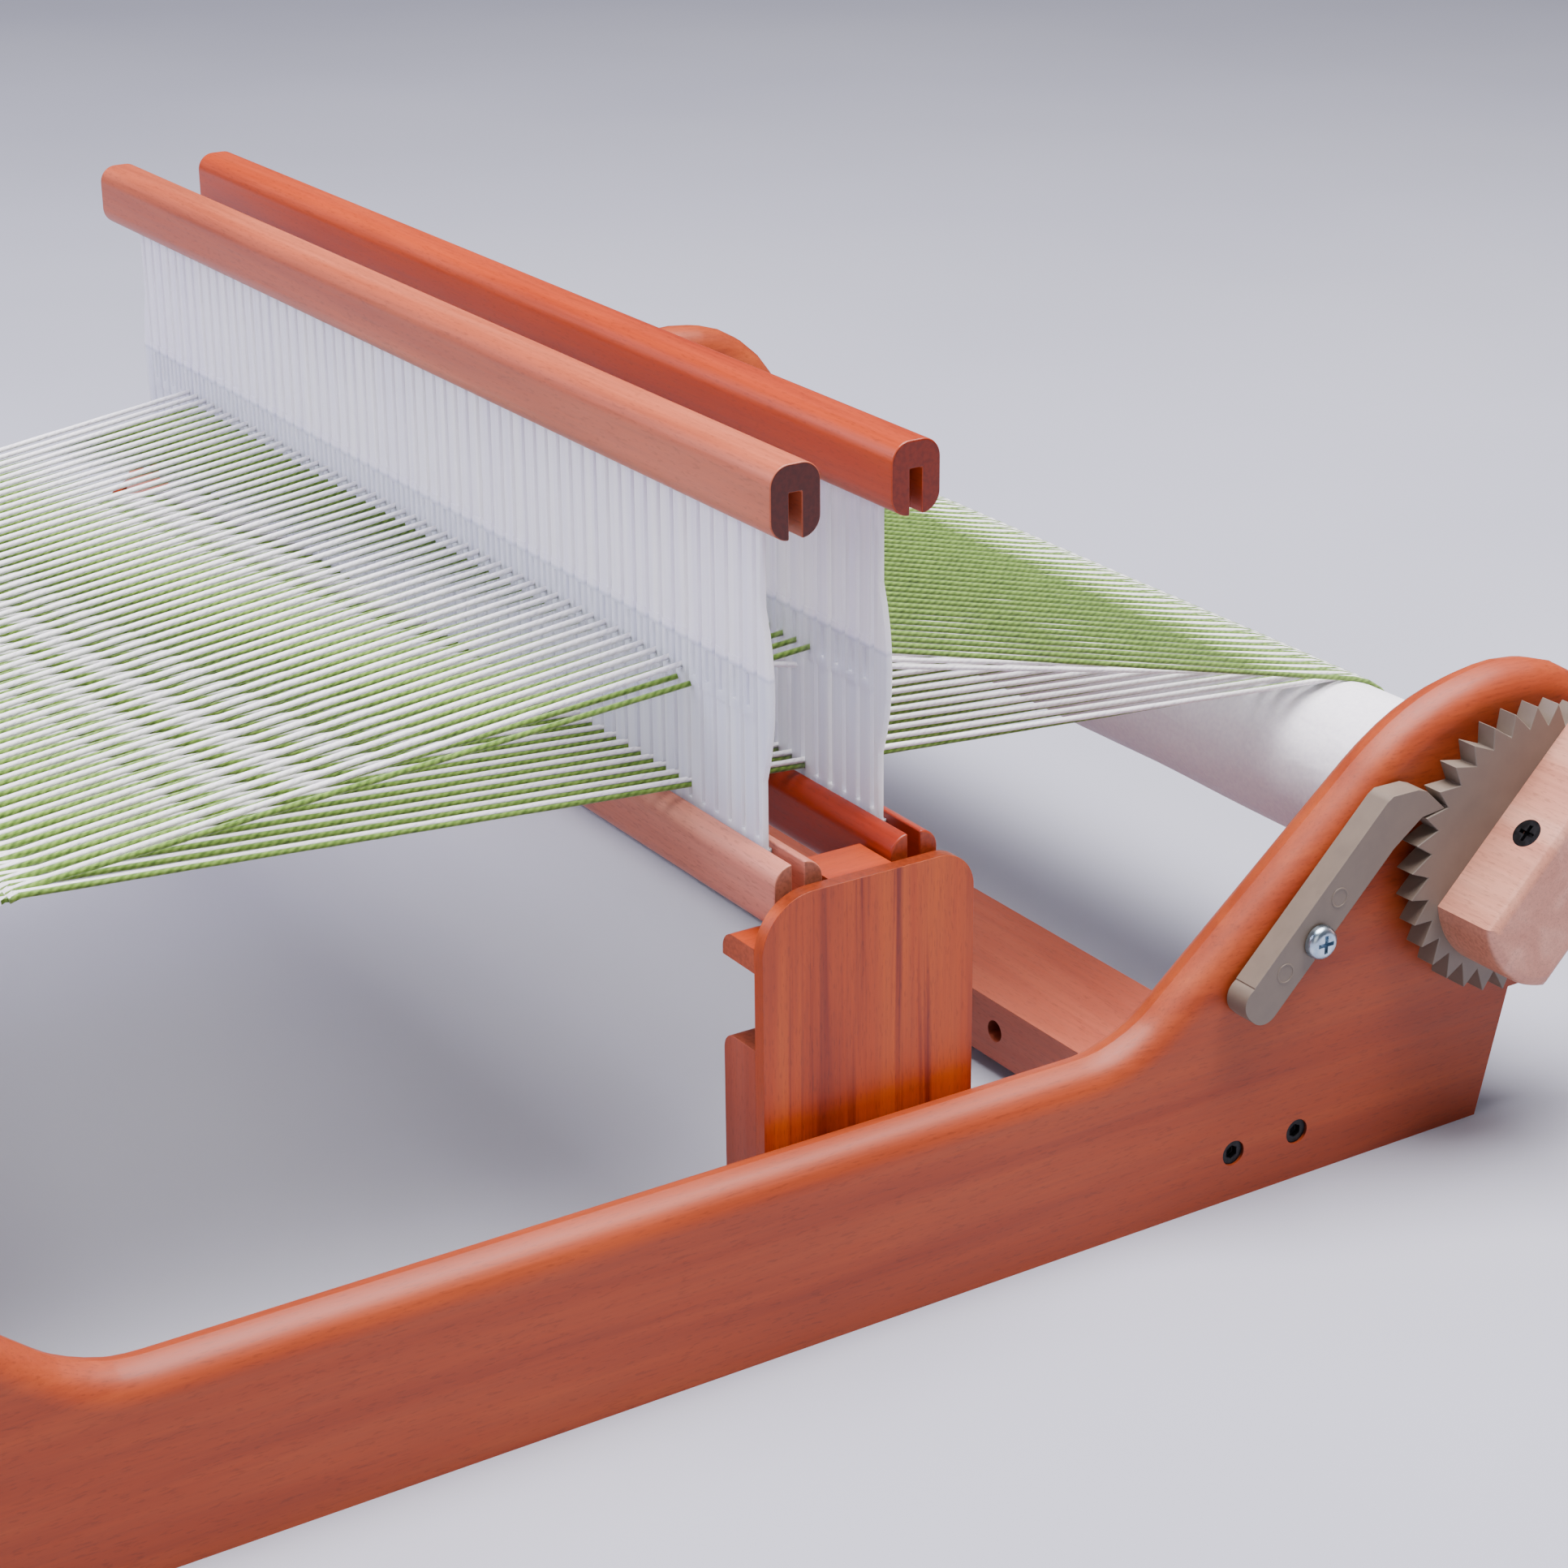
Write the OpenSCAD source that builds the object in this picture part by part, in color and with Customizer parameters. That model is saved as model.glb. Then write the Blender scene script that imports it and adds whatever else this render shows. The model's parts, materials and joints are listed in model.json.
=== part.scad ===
// Table-top rigid heddle loom with two heddles, warped and ready to weave.
// X runs across the loom to the weaver's right, Y runs away from the weaver,
// Z is up. The origin is on the table under the middle of the whole loom.

/* [Frame] */
// Width over the outer faces of the side panels
frame_w = 480; // [400:1:700]
// Distance between the axes of the front and rear rollers
roller_span = 570; // [500:1:700]
// Thickness of the side panels
panel_t = 18; // [14:0.5:24]
// Height of the rounded top edge of the side panels between the heddles and the weaver
panel_h = 55; // [45:1:70]
// Slope of the panel's top edge up to the head, in degrees
slope_deg = 39.7; // [30:0.1:50]
// Radius of the hollow where the slope starts
hollow_r = 51; // [30:1:80]
// Radius of the shoulder where the slope runs into the head
shoulder_r = 75; // [60:1:90]
// Radius of the head round the roller, measured to the middle of its rounded edge
head_r = 43; // [38:0.5:50]

/* [Cross rails] */
// Width of a cross rail, front to back
rail_w = 45; // [35:1:60]
// Thickness of a cross rail
rail_t = 20; // [16:0.5:26]
// Height of the underside of the cross rails above the table
rail_lift = 5; // [3:0.5:12]
// Distance from a roller's axis to the middle of its cross rail
rail_setback = 85; // [75:1:110]
// Distance between the two screws at each end of a cross rail
rail_screw_pitch = 23.6; // [18:0.2:30]
// Diameter of the accessory holes through the cross rails
accessory_hole_d = 7; // [5:0.5:9]
// Distance of each accessory hole from the middle of the loom
accessory_hole_x = 138.8; // [100:0.2:150]

/* [Rollers] */
// Height of the roller axes above the table
axis_h = 90; // [85:1:100]
// Diameter of the wooden rollers
roller_d = 45; // [36:0.5:50]
// Diameter of the rollers' journals
journal_d = 25; // [18:0.5:27]
// Thickness of the warp and paper wound on the rear roller
paper_wind = 3.1; // [1.5:0.1:5]
// Thickness of the cloth wound on the front roller
cloth_wind = 3.1; // [1.5:0.1:5]
// Radius of the flat caps on the left ends of the rollers
cap_r = 16; // [15:0.5:22]
// Thickness of the caps
cap_t = 4; // [3:0.5:8]

/* [Ratchets and pawls] */
// Number of teeth on a ratchet wheel
teeth = 33; // [30:3:36]
// Outer radius of a ratchet wheel
ratchet_r = 44; // [42:0.5:46]
// Depth of its teeth
tooth_depth = 6.4; // [5.5:0.1:7]
// Thickness of a ratchet wheel
ratchet_t = 6.7; // [5:0.1:9]
// Distance between the panel and the back of the ratchet wheel
ratchet_gap = 3.2; // [2:0.1:5]
// Thickness of a pawl
pawl_t = 8.2; // [6:0.1:8.4]
// Diameter of the pawl screw's shank
pawl_screw_d = 5; // [4:0.5:6]
// Distance from the roller axis back to the pawl's pivot
pawl_back = 77.7; // [77:0.1:79]
// Distance of the pawl's pivot below the roller axis
pawl_drop = 9.4; // [9:0.1:10]

/* [Handles] */
// Width of a handle across the bar
handle_w = 33; // [28:0.5:36]
// Depth of a handle, along the roller
handle_t = 22.3; // [18:0.1:30]
// Distance from the roller axis to the short end's corners
handle_short = 30.5; // [26:0.5:36]
// Distance from the roller axis to the long end's corners
handle_long = 64; // [50:0.5:65]
// How far the handle's ends bulge past their corners
handle_bulge = 5.4; // [2:0.1:5.5]
// Radius of the handle's outer edges
handle_edge_r = 3.2; // [1.5:0.1:5]
// Depth of the handle's screw inside the bar, measured from the ratchet wheel
handle_screw_x = 11.2; // [9:0.1:12]

/* [Heddle supports] */
// Distance of the middle of the heddle supports behind the middle of the loom
support_y = 75; // [55:1:90]
// Distance between the two reeds
heddle_pitch = 36.5; // [34:0.5:42]
// Width of a support plate
plate_w = 67; // [62:0.5:80]
// Thickness of a support plate
plate_t = 4.2; // [3:0.1:6]
// Height of the plate's top edge above the table
plate_top = 122.8; // [121:0.2:130]
// Radius of the plate's front top corner
plate_front_r = 16; // [8:0.5:20]
// Radius of the plate's rear top corner
plate_rear_r = 11; // [8:0.5:20]
// Thickness of the support blocks
block_t = 15.5; // [12:0.5:18]
// Height of the lower block's top
lower_block_top = 79; // [70:0.5:80]
// Height of the ledges that the raised heddles rest on
ledge_top = 108.5; // [105:0.5:112]
// Thickness of the ledges
ledge_t = 7; // [6:0.5:9]
// Height of the rib between the two heddles
rib_top = 122.5; // [118:0.5:126]
// Sideways play between the rib and the heddles
rib_play = 0.75; // [0.4:0.05:1.5]

/* [Heddles] */
// Width of a heddle rail, front to back
heddle_rail_w = 15; // [13:0.5:18]
// Height of a heddle rail
heddle_rail_h = 20; // [18:0.5:24]
// Radius of the rails' rounded corners
heddle_rail_r = 5.6; // [3:0.1:6]
// Width of the groove that holds the reed
groove_w = 3.8; // [3.2:0.1:5]
// Depth of the groove
groove_d = 12.4; // [9:0.1:13]
// Height of a whole heddle, over both rails
heddle_h = 128; // [120:1:150]
// Length of a reed
reed_w = 400; // [320:1:620]
// Thickness of the reed's bars
reed_t = 1.8; // [1.4:0.1:2.4]
// Distance between one eye and the next
eye_pitch = 6.8; // [5:0.1:10.2]
// Width of the slots between the bars
slot_w = 1.9; // [1.6:0.1:2.4]
// Length of an eye
eye_h = 9; // [7:0.5:12]
// Height of the middle of the eyes above the bottom of the heddle
eye_z = 61.5; // [56:0.5:66]

/* [Warp] */
// Width of the warp at the reeds
warp_w = 331; // [250:1:340]
// How far the middle of the warp lies to the left of the middle of the loom
warp_offset = 5; // [0:0.5:8]
// Height of the fell, where the cloth starts
fell_z = 144; // [136:1:150]
// Distance of the fell in front of the middle of the loom
fell_y = 131; // [115:1:145]
// Thickness of a layer of warp
warp_t = 1.4; // [1:0.1:2]

/* [Hidden] */

$fn = 64;
eps = 0.01;

// Fits
run_fit = 0.1;
face_gap = 0.5;
snug = 0.05;

// Wood colours
beech = "#b5623f";
pale_beech = "#d8a48a";
oiled_beech = "#b04a1c";
nylon = "#8c857c";
zinc = "#b9c0c8";
black_steel = "#202022";
reed_white = "#dfe0ee";
paper_white = "#f2f0f7";
yarn_white = "#f4f2f5";
yarn_green = "#7fa63c";

// Side panel, seen from the loom's right: u runs back, v runs up
edge_r = panel_t / 2;
path_v = panel_h - edge_r;
inner_x = frame_w / 2 - panel_t;
axis_y = roller_span / 2;
head_u = axis_y + 2;
head_v = axis_h;
head_top_v = head_v + head_r;
shoulder_v = head_top_v - shoulder_r;
slope_top = [head_u - shoulder_r * sin(slope_deg), shoulder_v + shoulder_r * cos(slope_deg)];
slope_foot_u = slope_top[0] - (slope_top[1] - path_v) / tan(slope_deg);
hollow_run = hollow_r * tan(slope_deg / 2);
hollow_c = [slope_foot_u - hollow_run, path_v + hollow_r];
head_end_deg = 75;
heel_v = 40;
heel_lean = 10;
heel_u = head_u + 5.5;
foot_u = heel_u - heel_lean;
neck_u = head_u + head_r * cos(head_end_deg);
cut_depth = panel_t;
reach_u = head_u + head_r + panel_t;
reach_v = head_top_v + panel_t;
arc_steps = 16;

// Cross rails
rail_y = axis_y - rail_setback;
rail_mid_z = rail_lift + rail_t / 2;
rail_half = inner_x;
rail_screw_d = 5;
rail_screw_len = 60;
rail_screw_head_d = 7.6;
rail_screw_head_t = 3;
rail_screw_sink = 0.8;
rail_socket_d = 4.2;

// Rollers
roller_half = inner_x - face_gap;
left_end_x = -(frame_w / 2 + 0.3);
ratchet_back_x = frame_w / 2 + ratchet_gap;
ratchet_front_x = ratchet_back_x + ratchet_t;
hub_r = journal_d / 2 + 3.5;
hub_gap = 0.4;
journal_end_x = ratchet_front_x + handle_t - 4.5;
cap_screw_d = 4;
cap_screw_head_d = 8;
cap_screw_len = 22;

// Ratchet teeth: each has a steep face that the pawl's nose stands behind
tooth_pitch = 360 / teeth;
root_r = ratchet_r - tooth_depth;
face_lean = 3.4;
nose_gap_deg = 0.9;

// Pawl, in its own frame: u along the bar to the nose, v across it, pivot at 0, 0
pawl_deg = 45;
pawl_front_x = ratchet_front_x - face_gap;
pawl_back_x = pawl_front_x - pawl_t;
nose = [52.8, -11];
pawl_tail_r = 5.5;
pawl_low_v = -3.7;
pawl_high_v = 9.3;
pawl_tail_u = -24;
pawl_y = axis_y - pawl_back;
pawl_z = axis_h - pawl_drop;
nose_y = pawl_y + nose[0] * cos(pawl_deg) - nose[1] * sin(pawl_deg);
nose_z = pawl_z + nose[0] * sin(pawl_deg) + nose[1] * cos(pawl_deg);
nose_deg = atan2(nose_z - axis_h, nose_y - axis_y);
tooth_phase = nose_deg - nose_gap_deg - face_lean;
pawl_mark_r = 3;
pawl_mark_t = 0.2;
pawl_mark_u = 13.1;
pawl_mark_v = 2.8;
pawl_head_d = 10;
pawl_head_t = 3.2;
pawl_screw_depth = 14;

// Handles
handle_deg = 45;
handle_screw_d = 4;
handle_screw_head_d = 8.8;
handle_screw_len = 30;
countersink_t = 2.6;

// Heddle supports
plate_x = inner_x - plate_t;
block_x = plate_x - block_t;
plate_foot = 8;
block_foot = 12;
block_edge_r = 5;
rib_w = heddle_pitch - heddle_rail_w - 2 * rib_play;
support_screw_d = 4;
support_screw_head_d = 8;
support_screw_z = 30;
support_screw_pitch = 40;
support_screw_depth = 9;

// Heddles
rail_end_gap = 2;
heddle_half = plate_x - rail_end_gap;
front_reed_y = support_y - heddle_pitch / 2;
back_reed_y = support_y + heddle_pitch / 2;
heddle_z = ledge_top;
reed_slack = 0.5;
reed_low = groove_d - reed_slack;
reed_bottom_z = heddle_z + heddle_rail_h - reed_low;
reed_top_z = heddle_z + heddle_h - heddle_rail_h + reed_low;
reed_h = reed_top_z - reed_bottom_z;
band_t = groove_w - 2 * snug;
band_h = reed_low - 2;
eye_w = 1.6;
eye_pad_h = eye_h + 6;
eye_pad_t = reed_t + 0.5;
bars = floor(reed_w / eye_pitch);
bar_w = eye_pitch - slot_w;
first_slot = (reed_w - bars * eye_pitch) / 2;
eye_low_v = heddle_z + eye_z - eye_h / 2 - reed_bottom_z;
end_bulge = 4;
end_bulge_h = 48;

// Warp
warp_left = -warp_w / 2 - warp_offset;
reed_clear = 2;
eye_top_z = heddle_z + eye_z - eye_h / 2 + warp_t / 2;
slot_low_z = heddle_z + heddle_rail_h + 1.5;
paper_r = roller_d / 2 + paper_wind;
cloth_r = roller_d / 2 + cloth_wind;
wrap_gap = 1.5;
paper_half = inner_x - 16;
roll_off = 6;
fell = [-fell_y, fell_z];
fell_gap = 2;
front_reed_front = front_reed_y - reed_clear;
front_reed_back = front_reed_y + reed_clear;
back_reed_front = back_reed_y - reed_clear;
back_reed_back = back_reed_y + reed_clear;
cloth_end = [roll_off - axis_y, axis_h + cloth_r + wrap_gap];
warp_end = [axis_y - roll_off, axis_h + paper_r + wrap_gap];

// The whole loom is wider on the handles' side: this centres it
shift_x = -(ratchet_front_x + handle_t + left_end_x - cap_t) / 2;

// ---- helpers ------------------------------------------------------------

// Points on an arc about c, from angle a0 to a1
function arc_points(c, r, a0, a1, n = arc_steps) =
    [for (i = [0:n]) let (a = a0 + (a1 - a0) * i / n) c + r * [cos(a), sin(a)]];

// Turns a drawing in u, v with thickness w into the loom's Y, Z, X
module upright() {
    rotate([90, 0, 90])
        children();
}

// A cylinder along X from x0 to x1, through y, z
module x_rod(r, x0, x1, y = 0, z = 0) {
    translate([x0, y, z])
        rotate([0, 90, 0])
            cylinder(r = r, h = x1 - x0);
}

// A cone along X whose radius goes from r0 at x0 to r1 at x1
module x_cone(r0, r1, x0, x1, y = 0, z = 0) {
    translate([x0, y, z])
        rotate([0, 90, 0])
            cylinder(r1 = r0, r2 = r1, h = x1 - x0);
}

module centred() {
    translate([shift_x, 0, 0])
        children();
}

module front_copy() {
    mirror([0, 1, 0])
        children();
}

module left_copy() {
    mirror([1, 0, 0])
        children();
}

// ---- side panels --------------------------------------------------------

// Half of the outline that the rounded edge is swept round: bottom to head to middle
function half_path() = concat(
    [[neck_u, -cut_depth]],
    arc_points([head_u, head_v], head_r, -head_end_deg, 90, 14),
    arc_points([head_u, shoulder_v], shoulder_r, 95, 90 + slope_deg, 7),
    arc_points(hollow_c, hollow_r, slope_deg - 90, -90, 8));

function mirrored(points) = [for (i = [len(points) - 1:-1:0]) [-points[i][0], points[i][1]]];

// The round that is swept along the panel's edge, with its flats exactly on the panel's faces
module edge_round() {
    rotate_extrude($fn = 16)
        polygon([for (a = [-90:22.5:90]) [edge_r * cos(a), (edge_r - eps) * sin(a)]]);
}

// A panel centred on x = 0: rounded along its top and heads, sharp at its feet
module panel_blank() {
    upright()
        intersection() {
            minkowski() {
                translate([0, 0, -eps])
                    linear_extrude(2 * eps)
                        polygon(concat(half_path(), mirrored(half_path())));
                edge_round();
            }
            translate([0, 0, -panel_t])
                linear_extrude(2 * panel_t)
                    polygon([[-foot_u, 0], [foot_u, 0], [heel_u, heel_v],
                        [reach_u, heel_v], [reach_u, reach_v], [-reach_u, reach_v],
                        [-reach_u, heel_v], [-heel_u, heel_v]]);
        }
}

module rail_screw_holes(x0, x1) {
    for (end = [-1, 1], side = [-1, 1])
        x_rod(rail_screw_d / 2 + snug, x0, x1,
            end * rail_y + side * rail_screw_pitch / 2, rail_mid_z);
}

module panel() {
    difference() {
        translate([frame_w / 2 - edge_r, 0, 0])
            panel_blank();
        for (end = [-1, 1])
            x_rod(journal_d / 2 + run_fit, inner_x - 1, frame_w / 2 + 1, end * axis_y, axis_h);
        rail_screw_holes(inner_x - 1, frame_w / 2 + 1);
        for (end = [-1, 1], side = [-1, 1])
            x_rod(rail_screw_head_d / 2 + snug,
                frame_w / 2 - rail_screw_head_t - rail_screw_sink, frame_w / 2 + 1,
                end * rail_y + side * rail_screw_pitch / 2, rail_mid_z);
        for (side = [-1, 1])
            x_rod(support_screw_d / 2 + snug, inner_x - 1, inner_x + support_screw_depth + snug,
                support_y + side * support_screw_pitch / 2, support_screw_z);
    }
}

module right_side_panel() {
    color(beech)
        centred()
            difference() {
                panel();
                for (end = [-1, 1])
                    x_rod(pawl_screw_d / 2 + snug, frame_w / 2 - pawl_screw_depth - snug,
                        frame_w / 2 + 1, end * pawl_y, pawl_z);
            }
}

module left_side_panel() {
    color(beech)
        centred()
            left_copy()
                panel();
}

// ---- cross rails --------------------------------------------------------

module cross_rail() {
    difference() {
        translate([-rail_half, rail_y - rail_w / 2, rail_lift])
            cube([2 * rail_half, rail_w, rail_t]);
        for (end = [-1, 1])
            mirror([end < 0 ? 1 : 0, 0, 0])
                for (side = [-1, 1])
                    x_rod(rail_screw_d / 2 + snug, frame_w / 2 - rail_screw_len - snug,
                        rail_half + 1, rail_y + side * rail_screw_pitch / 2, rail_mid_z);
        for (end = [-1, 1])
            translate([end * accessory_hole_x, rail_y + rail_w / 2 + 1, rail_mid_z])
                rotate([90, 0, 0])
                    cylinder(r = accessory_hole_d / 2, h = rail_w + 2);
    }
}

module rear_cross_rail() {
    color(pale_beech)
        centred()
            cross_rail();
}

module front_cross_rail() {
    color(pale_beech)
        centred()
            front_copy()
                cross_rail();
}

// A black connector screw with a hexagon socket
module rail_screw() {
    head_x = frame_w / 2 - rail_screw_sink;
    difference() {
        union() {
            x_rod(rail_screw_d / 2, frame_w / 2 - rail_screw_len, head_x - rail_screw_head_t + eps);
            x_rod(rail_screw_head_d / 2, head_x - rail_screw_head_t, head_x);
        }
        translate([head_x - 2, 0, 0])
            rotate([0, 90, 0])
                cylinder(r = rail_socket_d / 2, h = 3, $fn = 6);
    }
}

module cross_rail_screws() {
    color(black_steel)
        centred()
            for (left = [0, 1], end = [-1, 1], side = [-1, 1])
                mirror([left, 0, 0])
                    translate([0, end * rail_y + side * rail_screw_pitch / 2, rail_mid_z])
                        rail_screw();
}

// ---- heddle supports ----------------------------------------------------

module support_screw_holes(x0, x1) {
    for (side = [-1, 1])
        x_rod(support_screw_d / 2 + snug, x0, x1,
            support_y + side * support_screw_pitch / 2, support_screw_z);
}

module support_plate() {
    front_u = support_y - plate_w / 2;
    rear_u = support_y + plate_w / 2;
    difference() {
        translate([plate_x, 0, 0])
            upright()
                linear_extrude(plate_t)
                    union() {
                        translate([front_u, plate_foot])
                            square([plate_w, plate_top - plate_foot - max(plate_front_r, plate_rear_r)]);
                        translate([front_u + plate_front_r, plate_foot])
                            square([plate_w - plate_front_r - plate_rear_r, plate_top - plate_foot]);
                        translate([support_y, plate_foot])
                            square([plate_w / 2, plate_top - plate_foot - plate_rear_r]);
                        translate([front_u, plate_foot])
                            square([plate_w / 2, plate_top - plate_foot - plate_front_r]);
                        translate([front_u + plate_front_r, plate_top - plate_front_r])
                            circle(r = plate_front_r);
                        translate([rear_u - plate_rear_r, plate_top - plate_rear_r])
                            circle(r = plate_rear_r);
                    }
        support_screw_holes(plate_x - 1, inner_x + 1);
    }
}

// A block against the plate, with its inner top edge rounded
module support_block(y0, y1, z0, z1, round_r) {
    translate([0, y1, 0])
        rotate([90, 0, 0])
            linear_extrude(y1 - y0)
                intersection() {
                    translate([block_x, z0])
                        square([block_t, z1 - z0]);
                    union() {
                        translate([block_x + round_r, z0])
                            square([block_t - round_r, z1 - z0]);
                        translate([block_x, z0])
                            square([block_t, z1 - z0 - round_r]);
                        translate([block_x + round_r, z1 - round_r])
                            circle(r = round_r);
                    }
                }
}

module lower_block() {
    head_x = block_x + countersink_t;
    difference() {
        support_block(support_y - plate_w / 2, support_y + plate_w / 2,
            block_foot, lower_block_top, block_edge_r);
        support_screw_holes(block_x - 1, plate_x + 1);
        for (side = [-1, 1])
            x_cone(support_screw_head_d / 2 + snug, support_screw_d / 2 + snug,
                block_x, head_x, support_y + side * support_screw_pitch / 2, support_screw_z);
    }
}

module upper_block() {
    front_y = support_y - plate_w / 2;
    union() {
        support_block(front_y, front_y + plate_w, ledge_top - ledge_t, ledge_top, block_edge_r);
        translate([block_x, support_y - rib_w / 2, lower_block_top])
            cube([block_t, rib_w, rib_top - lower_block_top]);
    }
}

module right_support_plate() {
    color(oiled_beech)
        centred()
            support_plate();
}

module left_support_plate() {
    color(oiled_beech)
        centred()
            left_copy()
                support_plate();
}

module right_lower_block() {
    color(pale_beech)
        centred()
            lower_block();
}

module left_lower_block() {
    color(pale_beech)
        centred()
            left_copy()
                lower_block();
}

module right_upper_block() {
    color(oiled_beech)
        centred()
            upper_block();
}

module left_upper_block() {
    color(oiled_beech)
        centred()
            left_copy()
                upper_block();
}

// A countersunk wood screw that points along +X from x0
module wood_screw(x0, head_d, shank_d, length) {
    x_cone(head_d / 2, shank_d / 2, x0, x0 + countersink_t);
    x_rod(shank_d / 2, x0 + countersink_t - eps, x0 + length);
}

module support_screws() {
    screw_len = inner_x + support_screw_depth - block_x;
    color(zinc)
        centred()
            for (left = [0, 1], side = [-1, 1])
                mirror([left, 0, 0])
                    translate([0, support_y + side * support_screw_pitch / 2, support_screw_z])
                        wood_screw(block_x, support_screw_head_d, support_screw_d, screw_len);
}

// ---- heddles ------------------------------------------------------------

// Cross-section of a heddle rail with its groove open at the bottom: x is Y, y is up
module heddle_rail_section() {
    half_w = heddle_rail_w / 2 - heddle_rail_r;
    difference() {
        union() {
            for (x = [-half_w, half_w], y = [heddle_rail_r, heddle_rail_h - heddle_rail_r])
                translate([x, y])
                    circle(r = heddle_rail_r);
            translate([-half_w, 0])
                square([2 * half_w, heddle_rail_h]);
            translate([-heddle_rail_w / 2, heddle_rail_r])
                square([heddle_rail_w, heddle_rail_h - 2 * heddle_rail_r]);
        }
        translate([-groove_w / 2, -1])
            square([groove_w, groove_d + 1]);
    }
}

module heddle_rail() {
    translate([-heddle_half, 0, 0])
        upright()
            linear_extrude(2 * heddle_half)
                heddle_rail_section();
}

module top_rail(y) {
    translate([0, y, heddle_z + heddle_h - heddle_rail_h])
        heddle_rail();
}

module bottom_rail(y) {
    translate([0, y, heddle_z + heddle_rail_h])
        mirror([0, 0, 1])
            heddle_rail();
}

// Slots of a reed, drawn from its bottom left corner
module reed_slots() {
    for (i = [0:bars])
        translate([first_slot + i * eye_pitch - slot_w / 2, band_h + 3])
            square([slot_w, reed_h - 2 * band_h - 6]);
}

// Thicker pads across the bars at the height of the eyes
module eye_pads() {
    for (i = [0:bars - 1])
        translate([first_slot + i * eye_pitch + slot_w / 2, eye_low_v - (eye_pad_h - eye_h) / 2])
            square([bar_w, eye_pad_h]);
}

module eyes() {
    for (i = [0:bars - 1])
        translate([first_slot + (i + 0.5) * eye_pitch - eye_w / 2, eye_low_v])
            square([eye_w, eye_h]);
}

// A moulded reed: bars with padded eyes, thicker bands in the rails' grooves, bulged ends
module reed(y) {
    bulge_r = (end_bulge_h * end_bulge_h / 4 + end_bulge * end_bulge) / (2 * end_bulge);
    bulge_deg = asin(end_bulge_h / 2 / bulge_r);
    bulge_v = eye_low_v + eye_h / 2;
    translate([-reed_w / 2, y, reed_bottom_z])
        rotate([90, 0, 0])
            union() {
                translate([0, 0, -reed_t / 2])
                    linear_extrude(reed_t)
                        difference() {
                            polygon(concat(
                                [[0, 0], [reed_w, 0]],
                                arc_points([reed_w + end_bulge - bulge_r, bulge_v], bulge_r,
                                    -bulge_deg, bulge_deg, 8),
                                [[reed_w, reed_h], [0, reed_h]],
                                arc_points([bulge_r - end_bulge, bulge_v], bulge_r,
                                    180 - bulge_deg, 180 + bulge_deg, 8)));
                            reed_slots();
                            eyes();
                        }
                translate([0, 0, -eye_pad_t / 2])
                    linear_extrude(eye_pad_t)
                        difference() {
                            eye_pads();
                            eyes();
                        }
                for (v = [0, reed_h - band_h])
                    translate([0, v, -band_t / 2])
                        cube([reed_w, band_h, band_t]);
            }
}

module front_heddle_top_rail() {
    color(pale_beech)
        centred()
            top_rail(front_reed_y);
}

module front_heddle_bottom_rail() {
    color(pale_beech)
        centred()
            bottom_rail(front_reed_y);
}

module front_reed() {
    color(reed_white)
        centred()
            reed(front_reed_y);
}

module back_heddle_top_rail() {
    color(oiled_beech)
        centred()
            top_rail(back_reed_y);
}

module back_heddle_bottom_rail() {
    color(oiled_beech)
        centred()
            bottom_rail(back_reed_y);
}

module back_reed() {
    color(reed_white)
        centred()
            reed(back_reed_y);
}

// ---- rollers, ratchets, handles and pawls, drawn at the rear ------------

// The handle's screw, from the bar's upper face in to the journal, axis on x = 0
module handle_screw_axis() {
    translate([ratchet_front_x + handle_screw_x, axis_y, axis_h])
        rotate([handle_deg + 180, 0, 0])
            children();
}

module handle_screw_hole() {
    handle_screw_axis()
        translate([0, 0, -handle_w / 2 - 1])
            cylinder(r = handle_screw_d / 2 + snug, h = handle_screw_len + 1 + snug);
}

module roller() {
    color(beech)
        difference() {
            union() {
                x_rod(roller_d / 2, -roller_half, roller_half, axis_y, axis_h);
                x_rod(journal_d / 2, left_end_x, journal_end_x, axis_y, axis_h);
            }
            handle_screw_hole();
            x_rod(cap_screw_d / 2 + snug, left_end_x - 1, left_end_x - cap_t + cap_screw_len + snug,
                axis_y, axis_h);
        }
}

function ratchet_outline() = [for (i = [0:teeth - 1], step = [0, 1])
    let (a = tooth_phase + i * tooth_pitch + step * face_lean, r = step == 0 ? ratchet_r : root_r)
        r * [cos(a), sin(a)]];

module ratchet() {
    color(nylon)
        difference() {
            translate([0, axis_y, axis_h])
                upright() {
                    translate([0, 0, ratchet_back_x])
                        linear_extrude(ratchet_t)
                            polygon(ratchet_outline());
                    translate([0, 0, frame_w / 2 + hub_gap])
                        cylinder(r = hub_r, h = ratchet_gap - hub_gap + eps);
                }
            x_rod(journal_d / 2 + snug, frame_w / 2, ratchet_front_x + 1, axis_y, axis_h);
        }
}

// Outline of a handle, drawn along u with the roller's axis at the origin
function handle_outline(inset) =
    let (
        half_w = handle_w / 2 - inset,
        short_u = handle_short - inset,
        long_u = handle_long - inset,
        bulge_r = (half_w * half_w + handle_bulge * handle_bulge) / (2 * handle_bulge),
        bulge_deg = asin(half_w / bulge_r))
    concat(
        arc_points([long_u + handle_bulge - bulge_r, 0], bulge_r, -bulge_deg, bulge_deg),
        arc_points([-short_u - handle_bulge + bulge_r, 0], bulge_r, 180 - bulge_deg, 180 + bulge_deg));

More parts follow.
